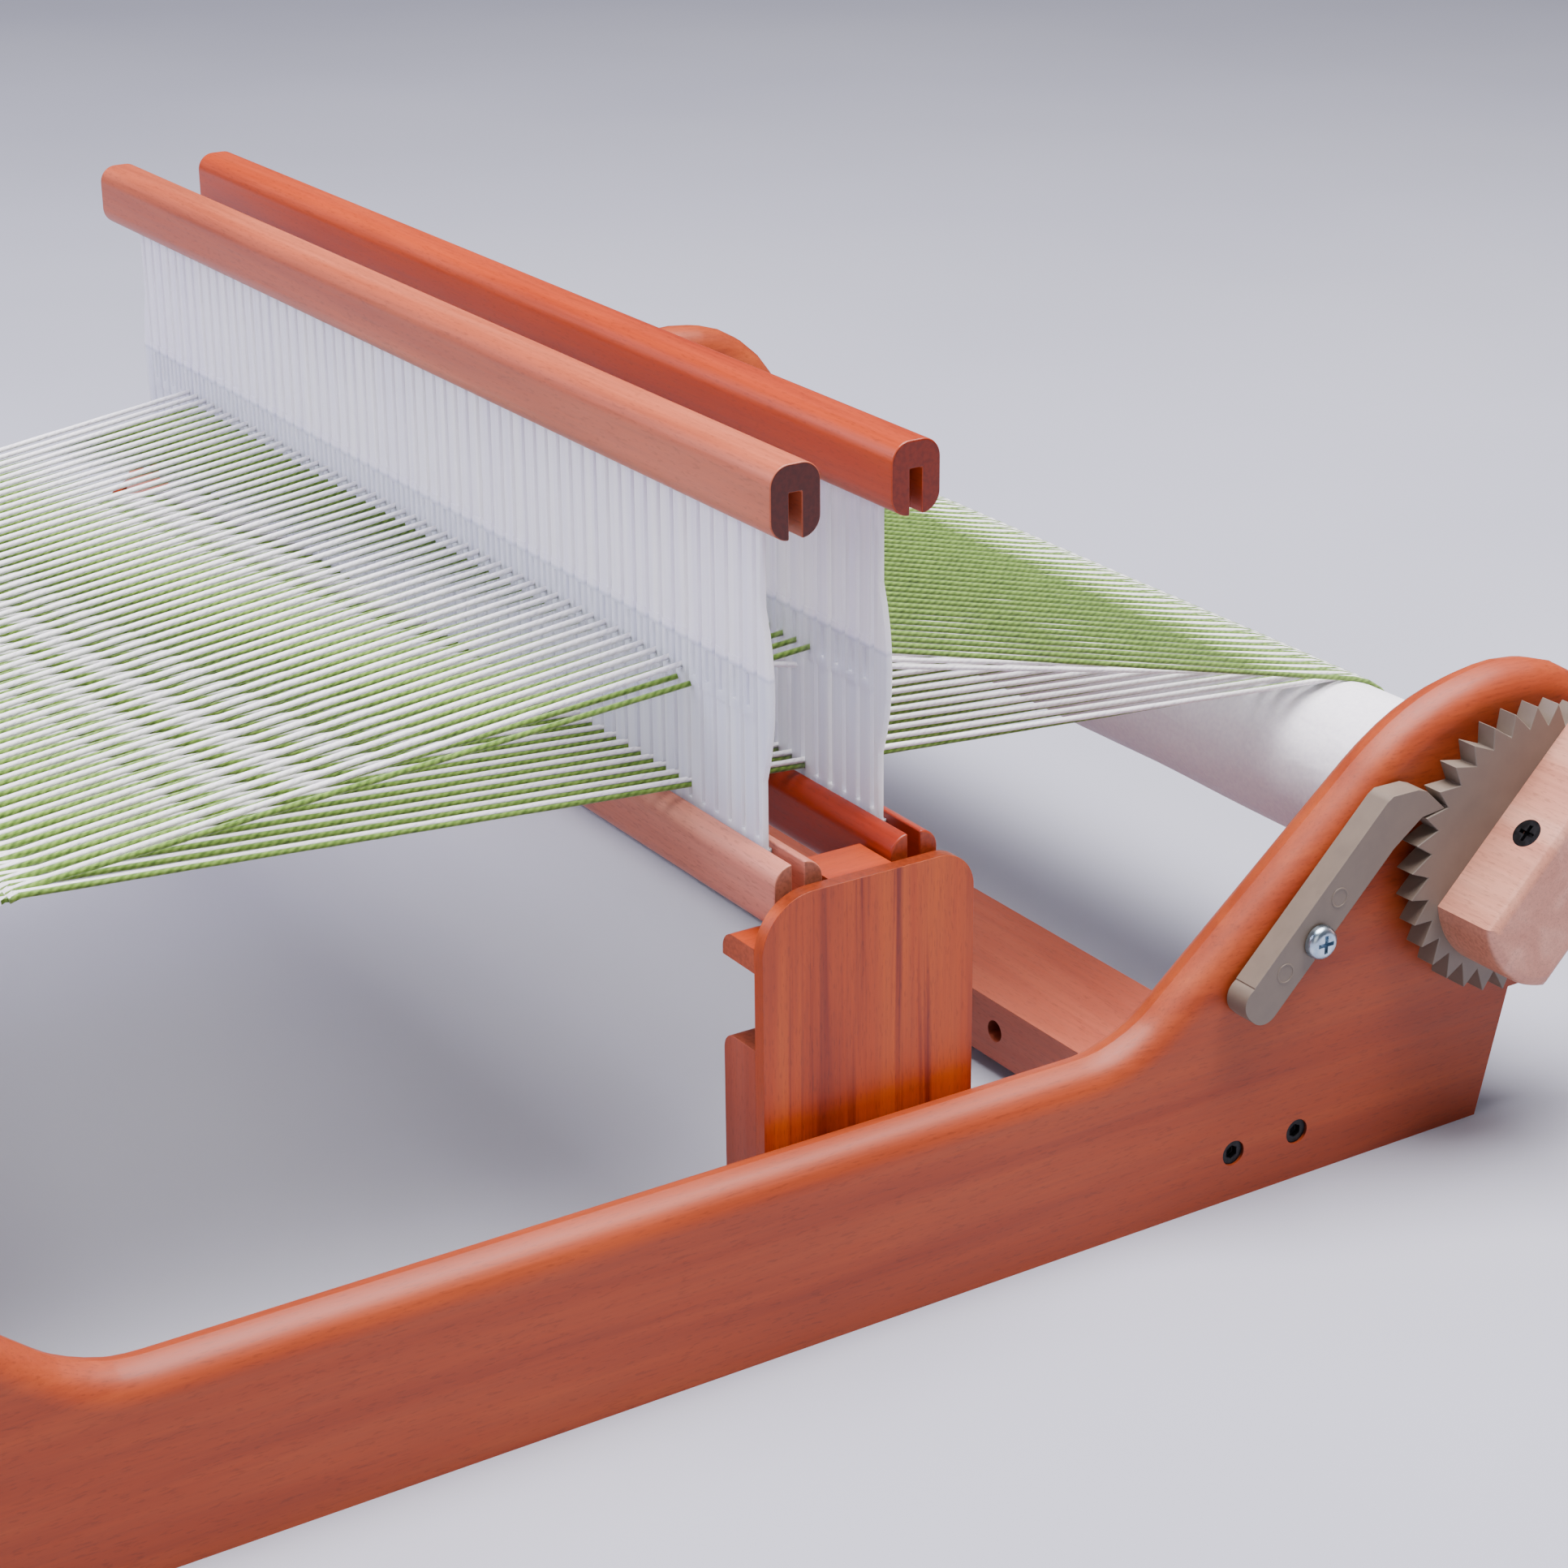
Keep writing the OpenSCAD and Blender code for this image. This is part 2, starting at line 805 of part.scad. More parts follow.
module handle() {
    color(pale_beech)
        difference() {
            translate([ratchet_front_x, axis_y, axis_h])
                upright()
                    rotate([0, 0, handle_deg])
                        hull() {
                            linear_extrude(handle_t - handle_edge_r)
                                polygon(handle_outline(0));
                            for (a = [30, 60, 90])
                                translate([0, 0, handle_t - handle_edge_r])
                                    linear_extrude(handle_edge_r * sin(a))
                                        polygon(handle_outline(handle_edge_r * (1 - cos(a))));
                        }
            x_rod(journal_d / 2 + snug, ratchet_front_x - 1, journal_end_x + snug, axis_y, axis_h);
            handle_screw_hole();
            handle_screw_axis()
                translate([0, 0, -handle_w / 2])
                    cylinder(r1 = handle_screw_head_d / 2 + snug, r2 = handle_screw_d / 2 + snug,
                        h = countersink_t + snug);
        }
}

module handle_screw() {
    color(black_steel)
        handle_screw_axis()
            translate([0, 0, -handle_w / 2])
                difference() {
                    union() {
                        cylinder(r1 = handle_screw_head_d / 2, r2 = handle_screw_d / 2, h = countersink_t);
                        cylinder(r = handle_screw_d / 2, h = handle_screw_len);
                    }
                    cross_recess(handle_screw_head_d * 0.6, 2);
                }
}

// A cross recess cut down into a screw's head from z = 0
module cross_recess(width, depth) {
    for (turn = [0, 90])
        rotate([0, 0, turn])
            translate([-width / 2, -width / 9, -1])
                cube([width, width / 4.5, depth + 1]);
}

module roller_cap() {
    color(nylon)
        difference() {
            x_rod(cap_r, left_end_x - cap_t, left_end_x, axis_y, axis_h);
            x_rod(cap_screw_d / 2 + snug, left_end_x - cap_t - 1, left_end_x + 1, axis_y, axis_h);
            x_cone(cap_screw_head_d / 2 + snug, cap_screw_d / 2 + snug, left_end_x - cap_t,
                left_end_x - cap_t + countersink_t, axis_y, axis_h);
        }
}

module cap_screw() {
    color(zinc)
        translate([0, axis_y, axis_h])
            wood_screw(left_end_x - cap_t, cap_screw_head_d, cap_screw_d, cap_screw_len);
}

module pawl_outline() {
    difference() {
        union() {
            polygon([[pawl_tail_u, pawl_low_v], [34.2, pawl_low_v], [46.2, -5.6], nose,
                [52.4, -1], [51, 2], [44.5, pawl_high_v - 0.6], [42, pawl_high_v],
                [pawl_tail_u + 2, pawl_high_v], [pawl_tail_u, pawl_high_v - 2]]);
            translate([pawl_tail_u, pawl_high_v - pawl_tail_r])
                circle(r = pawl_tail_r);
            translate([pawl_tail_u, pawl_low_v + pawl_tail_r])
                circle(r = pawl_tail_r);
            translate([pawl_tail_u - pawl_tail_r, pawl_low_v + pawl_tail_r])
                square([pawl_tail_r, pawl_high_v - pawl_low_v - 2 * pawl_tail_r]);
        }
        circle(r = pawl_screw_d / 2 + run_fit);
    }
}

module pawl() {
    color(nylon)
        translate([0, pawl_y, pawl_z])
            upright()
                rotate([0, 0, pawl_deg]) {
                    translate([0, 0, pawl_back_x])
                        linear_extrude(pawl_t)
                            pawl_outline();
                    for (side = [-1, 1])
                        translate([side * pawl_mark_u, pawl_mark_v, pawl_front_x - eps])
                            difference() {
                                cylinder(r = pawl_mark_r, h = pawl_mark_t + eps);
                                translate([0, 0, -eps])
                                    cylinder(r = pawl_mark_r - 0.5, h = pawl_mark_t + 1);
                            }
                }
}

module pawl_screw() {
    head_x = pawl_front_x + face_gap;
    color(zinc)
        translate([0, pawl_y, pawl_z])
            upright()
                difference() {
                    union() {
                        translate([0, 0, frame_w / 2 - pawl_screw_depth])
                            cylinder(r = pawl_screw_d / 2, h = head_x - frame_w / 2 + pawl_screw_depth + eps);
                        translate([0, 0, head_x])
                            rotate_extrude()
                                pan_head(pawl_head_d / 2, pawl_head_t);
                    }
                    translate([0, 0, head_x + pawl_head_t])
                        mirror([0, 0, 1])
                            cross_recess(pawl_head_d * 0.55, 1.8);
                }
}

// Half of a pan head's section: a flat top with a rounded shoulder
module pan_head(r, h) {
    shoulder = h * 0.7;
    intersection() {
        union() {
            square([r - shoulder, h]);
            square([r, h - shoulder]);
            translate([r - shoulder, h - shoulder])
                circle(r = shoulder);
        }
        square([r, h]);
    }
}

module pawl_spacer() {
    color(zinc)
        translate([0, pawl_y, pawl_z])
            upright()
                translate([0, 0, frame_w / 2])
                    difference() {
                        cylinder(r = pawl_head_d / 2, h = pawl_back_x - frame_w / 2 - 0.3);
                        translate([0, 0, -1])
                            cylinder(r = pawl_screw_d / 2 + snug, h = ratchet_gap + 2);
                    }
}

// ---- windings and warp --------------------------------------------------

module winding(r, half, offset_x) {
    difference() {
        x_rod(r, offset_x - half, offset_x + half, axis_y, axis_h);
        x_rod(roller_d / 2 + snug, offset_x - half - 1, offset_x + half + 1, axis_y, axis_h);
    }
}

// A flat layer of threads from one y, z to another, as wide as the warp
module layer(from, to, thickness = warp_t) {
    half_t = thickness / 2;
    translate([warp_left, 0, 0])
        upright()
            linear_extrude(warp_w)
                polygon([[from[0], from[1] - half_t], [to[0], to[1] - half_t],
                    [to[0], to[1] + half_t], [from[0], from[1] + half_t]]);
}

// ---- the rear set and its mirror image at the front ---------------------

module rear_roller() {
    centred()
        roller();
}

module rear_ratchet() {
    centred()
        ratchet();
}

module rear_handle() {
    centred()
        handle();
}

module rear_handle_screw() {
    centred()
        handle_screw();
}

module rear_roller_cap() {
    centred()
        roller_cap();
}

module rear_cap_screw() {
    centred()
        cap_screw();
}

module rear_pawl() {
    centred()
        pawl();
}

module rear_pawl_screw() {
    centred()
        pawl_screw();
}

module rear_pawl_spacer() {
    centred()
        pawl_spacer();
}

module front_roller() {
    centred()
        front_copy()
            roller();
}

module front_ratchet() {
    centred()
        front_copy()
            ratchet();
}

module front_handle() {
    centred()
        front_copy()
            handle();
}

module front_handle_screw() {
    centred()
        front_copy()
            handle_screw();
}

module front_roller_cap() {
    centred()
        front_copy()
            roller_cap();
}

module front_cap_screw() {
    centred()
        front_copy()
            cap_screw();
}

module front_pawl() {
    centred()
        front_copy()
            pawl();
}

module front_pawl_screw() {
    centred()
        front_copy()
            pawl_screw();
}

module front_pawl_spacer() {
    centred()
        front_copy()
            pawl_spacer();
}

module warp_paper() {
    color(paper_white)
        centred()
            winding(paper_r, paper_half, 0);
}

module cloth_winding() {
    color(yarn_white)
        centred()
            front_copy()
                winding(cloth_r, warp_w / 2, -warp_offset);
}

module woven_cloth() {
    color(yarn_white)
        centred()
            layer(cloth_end, fell);
}

module warp_front_upper() {
    color(yarn_white)
        centred()
            layer(fell + [fell_gap, warp_t], [front_reed_front, eye_top_z]);
}

module warp_front_lower() {
    color(yarn_green)
        centred()
            layer(fell + [fell_gap, -warp_t], [front_reed_front, slot_low_z]);
}

module warp_middle_upper() {
    color(yarn_green)
        centred()
            layer([front_reed_back, eye_top_z - 2], [back_reed_front, eye_top_z - 2], 6);
}

module warp_middle_lower() {
    color(yarn_white)
        centred()
            layer([front_reed_back, slot_low_z], [back_reed_front, slot_low_z]);
}

module warp_rear_upper() {
    color(yarn_green)
        centred()
            layer([back_reed_back, eye_top_z], warp_end + [0, warp_t]);
}

module warp_rear_lower() {
    color(yarn_white)
        centred()
            layer([back_reed_back, slot_low_z], warp_end - [0, warp_t / 2]);
}

right_side_panel();
left_side_panel();
rear_cross_rail();
front_cross_rail();
cross_rail_screws();
right_support_plate();
left_support_plate();
right_lower_block();
left_lower_block();
right_upper_block();
left_upper_block();
support_screws();
front_heddle_top_rail();
front_heddle_bottom_rail();
front_reed();
back_heddle_top_rail();
back_heddle_bottom_rail();
back_reed();
rear_roller();
rear_ratchet();
rear_handle();
rear_handle_screw();
rear_roller_cap();
rear_cap_screw();
rear_pawl();
rear_pawl_screw();
rear_pawl_spacer();
warp_paper();
front_roller();
front_ratchet();
front_handle();
front_handle_screw();
front_roller_cap();
front_cap_screw();
front_pawl();
front_pawl_screw();
front_pawl_spacer();
cloth_winding();
woven_cloth();
warp_front_upper();
warp_front_lower();
warp_middle_upper();
warp_middle_lower();
warp_rear_upper();
warp_rear_lower();
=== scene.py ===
"""Looks of a table-top rigid heddle loom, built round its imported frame.

X runs across the loom to the weaver's right, Y away from the weaver, Z up. All in metres.
"""

import json
import math
import random

import bpy
import numpy as np
from mathutils import Matrix, Vector


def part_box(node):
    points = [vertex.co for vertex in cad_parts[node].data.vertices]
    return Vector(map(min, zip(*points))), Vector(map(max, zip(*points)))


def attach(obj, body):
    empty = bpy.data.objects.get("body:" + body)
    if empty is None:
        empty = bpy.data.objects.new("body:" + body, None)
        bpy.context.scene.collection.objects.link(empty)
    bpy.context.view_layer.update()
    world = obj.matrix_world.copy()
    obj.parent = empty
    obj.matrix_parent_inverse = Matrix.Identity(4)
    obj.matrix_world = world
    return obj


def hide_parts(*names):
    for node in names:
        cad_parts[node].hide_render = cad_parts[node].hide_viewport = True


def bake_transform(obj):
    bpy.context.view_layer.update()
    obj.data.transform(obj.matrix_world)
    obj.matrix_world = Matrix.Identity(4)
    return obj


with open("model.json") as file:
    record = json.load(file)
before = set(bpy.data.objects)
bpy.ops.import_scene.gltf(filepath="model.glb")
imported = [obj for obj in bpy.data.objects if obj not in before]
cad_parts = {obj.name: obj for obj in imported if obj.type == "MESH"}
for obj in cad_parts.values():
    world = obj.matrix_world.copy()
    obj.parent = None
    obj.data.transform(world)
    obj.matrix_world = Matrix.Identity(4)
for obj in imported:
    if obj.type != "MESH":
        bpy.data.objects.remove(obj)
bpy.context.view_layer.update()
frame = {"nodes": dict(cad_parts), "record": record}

MM = 0.001

# ---- sizes ---------------------------------------------------------------

# Reeds
REED_LENGTH = 400 * MM
REED_EDGE = 2.8 * MM          # from the reed's end to its first slot
REED_STEP_Z = 174 * MM        # height where the moulding of the reeds changes over, and where their painted shade starts
EYE_PITCH = 6.8 * MM          # distance from one eye of a reed to the next
FIRST_EYE = 4                 # eyes left empty at the reed's left end

# Threads
GROUPS = 49                   # groups of ends, one to each eye that is used
GROUP_ENDS = 4
YARN_R = 0.82 * MM            # radius of the wool yarn
YARN_SIDES = 6
YARN_VARIES = 0.06            # how much thicker or thinner it gets, as a share
PLIES = 2
PLY_PITCH = 5.2 * MM          # length in which its two plies go once round
END_PITCH = 1.7 * MM          # distance from one warp end to the next on the rollers
END_STRAYS = 0.12             # millimetres that an end may lie to one side on the rear roller
EYE_Z = 166.8 * MM            # height of a thread that a front eye holds up
BACK_EYE_DROP = 0.5 * MM      # how much lower the back reed's eyes hold theirs
SLOT_Z = 130.3 * MM           # height of the green threads at the foot of the back slots
SLOT_STEP = 1.6 * MM          # how much higher the white ones lie there
SLOT_APART = 0.1 * MM         # from the middle of a slot to either thread in it
FELL = Vector((0, -131 * MM, 144 * MM))     # the edge of the cloth where weaving has got to
TUCK = Vector((0, -3 * MM, -0.8 * MM))      # from the fell to a thread's end inside the cloth
DRAW_IN = 0.952               # width of the cloth as a share of the warp's in the reeds
RING_GAP = 7 * MM             # length of one piece of a drawn thread
SINK_FROM = 0.55              # share of a wound stretch after which it sinks into the roll

# Rear roll
YARN_STANDS = 0.9             # share of its radius that a thread stands off the paper
WRAP_DEG = 118                # how far round the roll the threads are drawn
PAPER_T = 0.3 * MM
PAPER_DEPTH = 2.6 * MM        # from the outside of the paper in to where its winding starts
PAPER_TURNS = 2.3
PAPER_END_DEG = -62           # where the paper's free edge lies, seen from the loom's right
PAPER_EDGE_SHARE = 0.015      # share of the paper's length that lifts at the free edge
PAPER_EDGE_LIFT = 0.2 * MM
# Soft flats: height in millimetres, waves round the roll, radians along it, start in radians
PAPER_WAVES = ((0.28, 5, 9, 0), (0.2, 3, -21, 1.3), (0.12, 11, 34, 0))

# Cloth
PICK_PITCH = 2.0 * MM         # distance from one weft to the next
CLOTH_T = 1.1 * MM
CLOTH_RELIEF = 0.22 * MM      # how far a thread stands up where it passes over another
CLOTH_STANDS = 0.2 * MM       # how far the stretched cloth stands off the front roll
CLOTH_HOLD_DEG = 40           # how far round the roll the stretched cloth is drawn
CLOTH_SINK = 1.6 * MM         # how deep it ends inside the wound cloth
CLOTH_TURNS = 1.25
CLOTH_START_DEG = 100         # where the wound cloth's outer end lies
CLOTH_OUTER = 0.75 * MM       # how far the wound cloth's middle starts inside its outside
CLOTH_CLOSES = 1.4 * MM       # how much nearer the axis it gets in all its turns
SELVEDGE_WAVE = 0.35 * MM     # how far the weft pulls the selvedges in and out
SELVEDGE_STEP = 1.9           # radians of that wave to each pick

# Edges of the wooden, moulded and metal pieces
MERGE_GAP = 0.01 * MM
FLAT_DEG = 0.4                # faces that meet at less are one flat
SHARP_DEG = 40                # edges that turn by more are eased

# Stage
FLOOR_SIDE = 60
WORLD_STRENGTH = 0.22
LAMPS_AIM = Vector((0, 0, 0.1))
# Name, place, side of the square in metres, watts, colour
LAMPS = (
    ("overhead", (0.25, 0.35, 1.9), 1.5, 130, "#fffafa"),
    ("front", (-0.9, -1.7, 1.3), 1.3, 66, "#e6e5ff"),
    ("side", (1.9, -0.9, 1.0), 1.2, 8, "#fff4ee"),
)
CAMERA_PLACE = (0.88279, -0.38138, 0.48101)
CAMERA_AZIMUTH = math.radians(57.495)
CAMERA_ELEVATION = math.radians(22.193)
CAMERA_ROLL = math.radians(-0.5216)
CAMERA_LENS = 78.1            # millimetres
CAMERA_SENSOR = 36

# ---- selecting and editing ----------------------------------------------


def select_only(piece):
    bpy.ops.object.select_all(action="DESELECT")
    piece.select_set(True)
    bpy.context.view_layer.objects.active = piece


def apply_all(piece):
    select_only(piece)
    for modifier in list(piece.modifiers):
        bpy.ops.object.modifier_apply(modifier=modifier.name)


def new_piece(name, mesh):
    piece = bpy.data.objects.new(name, mesh)
    bpy.context.collection.objects.link(piece)
    return piece


def smooth(piece, degrees):
    select_only(piece)
    bpy.ops.object.shade_smooth_by_angle(angle=math.radians(degrees))


def thicken(piece, thickness):
    """Gives a sheet its thickness, half to each side."""
    shell = piece.modifiers.new("thickness", "SOLIDIFY")
    shell.thickness = thickness
    shell.offset = 0
    apply_all(piece)


def dress(piece, material):
    piece.data.materials.clear()
    piece.data.materials.append(material)


# ---- materials ------------------------------------------------------------


def linear(code):
    """An sRGB hex colour as linear numbers, with full alpha."""
    parts = [int(code[i : i + 2], 16) / 255 for i in (1, 3, 5)]
    turned = [c / 12.92 if c <= 0.04045 else ((c + 0.055) / 1.055) ** 2.4 for c in parts]
    return (*turned, 1.0)


def spaced(*sizes):
    """The scale of a pattern whose marks lie these millimetres apart, on one axis or on three."""
    scales = [1 / (size * MM) for size in sizes]
    return scales if len(scales) > 1 else scales[0]


def fill(tree, node, inputs):
    """Sets sockets of a node, each to a value or by a link from another node's output."""
    for name, value in inputs.items():
        if isinstance(value, bpy.types.NodeSocket):
            tree.links.new(value, node.inputs[name])
        else:
            node.inputs[name].default_value = value


def add(tree, kind, inputs=None, stops=None, **settings):
    """Adds a node with its settings, its sockets and, on a ramp, its stops in hex or grey."""
    node = tree.nodes.new("ShaderNode" + kind)
    for name, value in settings.items():
        setattr(node, name, value)
    fill(tree, node, inputs or {})
    if stops:
        ramp = node.color_ramp
        while len(ramp.elements) < len(stops):
            ramp.elements.new(1.0)
        for element, (place, colour) in zip(ramp.elements, stops):
            element.position = place
            element.color = linear(colour) if isinstance(colour, str) else (colour,) * 3 + (1,)
    return node


def start(name):
    """A material with an empty tree, its shader and its texture coordinates."""
    material = bpy.data.materials.new(name)
    material.use_nodes = True
    tree = material.node_tree
    tree.nodes.clear()
    shader = add(tree, "BsdfPrincipled")
    add(tree, "OutputMaterial", {"Surface": shader.outputs[0]})
    place = add(tree, "TexCoord")
    return material, tree, shader, place


# Sockets of a Mix node that mixes colours, and its two ways of doing so
SHARE, FIRST, SECOND, RESULT = 0, 6, 7, 2
MULTIPLY = {"data_type": "RGBA", "blend_type": "MULTIPLY"}
REPLACE = {"data_type": "RGBA", "blend_type": "MIX"}

# Turns that bring each axis onto X, where the wood's pattern is long
GRAIN_TURN = {"X": (0, 0, 0), "Y": (0, 0, math.pi / 2), "Z": (0, math.pi / 2, 0)}
FIBRE_WAY = {"X": (1, 0, 0), "Y": (0, 1, 0), "Z": (0, 0, 1)}

# Scale at which a wave's straight bands lie one unit apart. Diagonal ones need twice as much.
WAVE_UNIT = math.pi / 10


def beech(name, grain, pale, mid, deep, end_grain, gloss, lean=0.0, streaks=0.0):
    """Steamed beech under a satin lacquer: long soft growth lines, short dark rays, a thin
    clear coat, and darker, drier ends. grain is the axis that the fibres run along. On a piece
    that leans about X by lean, the ends follow it, but the lines are drawn along X."""
    material, tree, shader, place = start(name)
    turn = (lean, 0, 0) if lean else GRAIN_TURN[grain]
    fibre_way = Matrix.Rotation(-lean, 3, "X") @ Vector(FIBRE_WAY[grain])
    along = add(tree, "Mapping", {"Vector": place.outputs["Object"], "Rotation": turn})
    # growth lines: about 14 mm apart, wandering over 250 mm
    growth_run = add(tree, "Mapping", {"Vector": along.outputs[0], "Scale": spaced(250, 14.29, 14.29)})
    growth = add(tree, "TexNoise", {
        "Vector": growth_run.outputs[0], "Scale": 1.0, "Detail": 5, "Roughness": 0.55,
        "Distortion": 0.6,
    })
    # fibres: about 1 mm apart and 40 mm long, coarser than real ones so that they show
    fibre_run = add(tree, "Mapping", {"Vector": along.outputs[0], "Scale": spaced(40, 1.0526, 1.0526)})
    fibres = add(tree, "TexNoise", {
        "Vector": fibre_run.outputs[0], "Scale": 1.0, "Detail": 3, "Roughness": 0.6,
    })
    # rays: dark dashes 0.5 mm wide and 3 mm long
    ray_run = add(tree, "Mapping", {"Vector": along.outputs[0], "Scale": spaced(3.03, 0.5263, 0.5263)})
    rays = add(tree, "TexNoise", {"Vector": ray_run.outputs[0], "Scale": 1.0, "Detail": 1})
    tone = add(tree, "ValToRGB", {"Fac": growth.outputs["Fac"]},
        stops=[(0.28, deep), (0.5, mid), (0.72, pale)])
    fine = add(tree, "ValToRGB", {"Fac": fibres.outputs["Fac"]}, stops=[(0.3, 0.72), (0.62, 1.0)])
    dark = add(tree, "ValToRGB", {"Fac": rays.outputs["Fac"]}, stops=[(0.3, 0.66), (0.42, 1.0)])
    colour = add(tree, "Mix", {SHARE: 0.55, FIRST: tone.outputs[0], SECOND: fine.outputs[0]}, **MULTIPLY)
    colour = add(tree, "Mix",
        {SHARE: 0.6, FIRST: colour.outputs[RESULT], SECOND: dark.outputs[0]}, **MULTIPLY)
    if streaks:
        # heartwood streaks: about 10 mm apart, running the whole piece
        heart_run = add(tree, "Mapping", {
            "Vector": along.outputs[0], "Scale": spaced(454.5, 9.524, 9.524),
        })
        heart = add(tree, "TexNoise", {
            "Vector": heart_run.outputs[0], "Scale": 1.0, "Detail": 4, "Roughness": 0.65,
            "Distortion": 0.5,
        })
        brown = add(tree, "ValToRGB", {"Fac": heart.outputs["Fac"]},
            stops=[(0.36, "#a0501c"), (0.48, "#ffffff")])
        colour = add(tree, "Mix",
            {SHARE: streaks, FIRST: colour.outputs[RESULT], SECOND: brown.outputs[0]}, **MULTIPLY)
    # end grain shows where a face looks along the fibres
    facing = add(tree, "VectorMath", {0: place.outputs["Normal"], 1: fibre_way}, operation="DOT_PRODUCT")
    facing_either = add(tree, "Math", {0: facing.outputs["Value"]}, operation="ABSOLUTE")
    ends = add(tree, "ValToRGB", {"Fac": facing_either.outputs[0]}, stops=[(0.72, 0.0), (0.9, 1.0)])
    # pores: about 1 mm apart, coarser than real ones so that they show
    pores = add(tree, "TexNoise", {
        "Vector": place.outputs["Object"], "Scale": spaced(1.111), "Detail": 2,
    })
    pore_tone = add(tree, "ValToRGB", {"Fac": pores.outputs["Fac"]}, stops=[(0.35, 0.6), (0.6, 1.0)])
    end_tone = add(tree, "Mix",
        {SHARE: 0.7, FIRST: linear(end_grain), SECOND: pore_tone.outputs[0]}, **MULTIPLY)
    colour = add(tree, "Mix", {
        SHARE: ends.outputs[0], FIRST: colour.outputs[RESULT], SECOND: end_tone.outputs[RESULT],
    }, **REPLACE)
    dull = add(tree, "MapRange", {
        "Value": fibres.outputs["Fac"], "To Min": gloss - 0.07, "To Max": gloss + 0.12,
    })
    bump = add(tree, "Bump", {"Height": fibres.outputs["Fac"], "Strength": 0.12, "Distance": 0.2 * MM})
    fill(tree, shader, {
        "Base Color": colour.outputs[RESULT], "Roughness": dull.outputs[0], "Normal": bump.outputs[0],
        "Specular IOR Level": 0.42, "Coat Weight": 0.06, "Coat Roughness": 0.3,
    })
    return material


def moulded_nylon():
    """Glass-filled nylon: an even grey-brown with a faint mottle and a fine moulded texture."""
    material, tree, shader, place = start("moulded_nylon")
    mottle = add(tree, "TexNoise", {
        "Vector": place.outputs["Object"], "Scale": spaced(6.25), "Detail": 4, "Roughness": 0.6,
    })
    tone = add(tree, "ValToRGB", {"Fac": mottle.outputs["Fac"]}, stops=[(0.2, "#6b5f55"), (0.8, "#76695d")])
    dull = add(tree, "MapRange", {"Value": mottle.outputs["Fac"], "To Min": 0.42, "To Max": 0.58})
    # grit of the mould: coarser than the real one so that it shows
    grit = add(tree, "TexNoise", {"Vector": place.outputs["Object"], "Scale": spaced(0.625), "Detail": 2})
    bump = add(tree, "Bump", {"Height": grit.outputs["Fac"], "Strength": 0.1, "Distance": 0.1 * MM})
    fill(tree, shader, {
        "Base Color": tone.outputs[0], "Roughness": dull.outputs[0], "Normal": bump.outputs[0],
    })
    return material


def zinc_plate():
    """Bright zinc plating on steel: cool blue-grey, rubbed in fine uneven patches."""
    material, tree, shader, place = start("zinc_plate")
    cloud = add(tree, "TexNoise", {"Vector": place.outputs["Object"], "Scale": spaced(2.632), "Detail": 3})
    tone = add(tree, "ValToRGB", {"Fac": cloud.outputs["Fac"]}, stops=[(0.3, "#8fa6b8"), (0.7, "#c9d6e0")])
    dull = add(tree, "MapRange", {"Value": cloud.outputs["Fac"], "To Min": 0.2, "To Max": 0.4})
    fill(tree, shader, {"Base Color": tone.outputs[0], "Roughness": dull.outputs[0], "Metallic": 1.0})
    return material


def black_oxide():
    """Blackened steel screws: nearly black with a soft oily shine."""
    material, tree, shader, place = start("black_oxide")
    cloud = add(tree, "TexNoise", {"Vector": place.outputs["Object"], "Scale": spaced(2), "Detail": 3})
    tone = add(tree, "ValToRGB", {"Fac": cloud.outputs["Fac"]}, stops=[(0.3, "#0e0e10"), (0.7, "#26262a")])
    dull = add(tree, "MapRange", {"Value": cloud.outputs["Fac"], "To Min": 0.28, "To Max": 0.45})
    fill(tree, shader, {"Base Color": tone.outputs[0], "Roughness": dull.outputs[0], "Metallic": 0.6})
    return material


def reed_polypropylene():
    """Milky polypropylene: light goes a little way in, and flow lines run up the bars. Painted
    shade makes the part below the change in the moulding greyer-green, with a darker line just above."""
    material, tree, shader, place = start("reed_polypropylene")
    flow = add(tree, "Mapping", {"Vector": place.outputs["Object"], "Scale": spaced(3.846, 5, 166.7)})
    lines = add(tree, "TexNoise", {"Vector": flow.outputs[0], "Scale": 1.0, "Detail": 2})
    tone = add(tree, "ValToRGB", {"Fac": lines.outputs["Fac"]}, stops=[(0.35, "#dddbf2"), (0.65, "#edecfb")])
    # painted shade: a darker line just above the step in the moulding, and a greyer-green lower part among
    # the threads
    apart = add(tree, "SeparateXYZ", {"Vector": place.outputs["Object"]})
    above = add(tree, "MapRange", {
        "Value": apart.outputs[2], "From Min": REED_STEP_Z, "From Max": REED_STEP_Z + 2 * MM,
    })
    painted_step_shade = add(tree, "ValToRGB", {"Fac": above.outputs[0]},
        stops=[(0.0, "#e6ece8"), (0.45, "#d3d9dc"), (1.0, "#ffffff")])
    colour = add(tree, "Mix", {SHARE: 1.0, FIRST: tone.outputs[0], SECOND: painted_step_shade.outputs[0]}, **MULTIPLY)
    dull = add(tree, "MapRange", {"Value": lines.outputs["Fac"], "To Min": 0.35, "To Max": 0.5})
    fill(tree, shader, {
        "Base Color": colour.outputs[RESULT], "Roughness": dull.outputs[0],
        "Subsurface Weight": 1.0, "Subsurface Radius": (1.0, 1.0, 1.0), "Subsurface Scale": 6 * MM,
    })
    return material


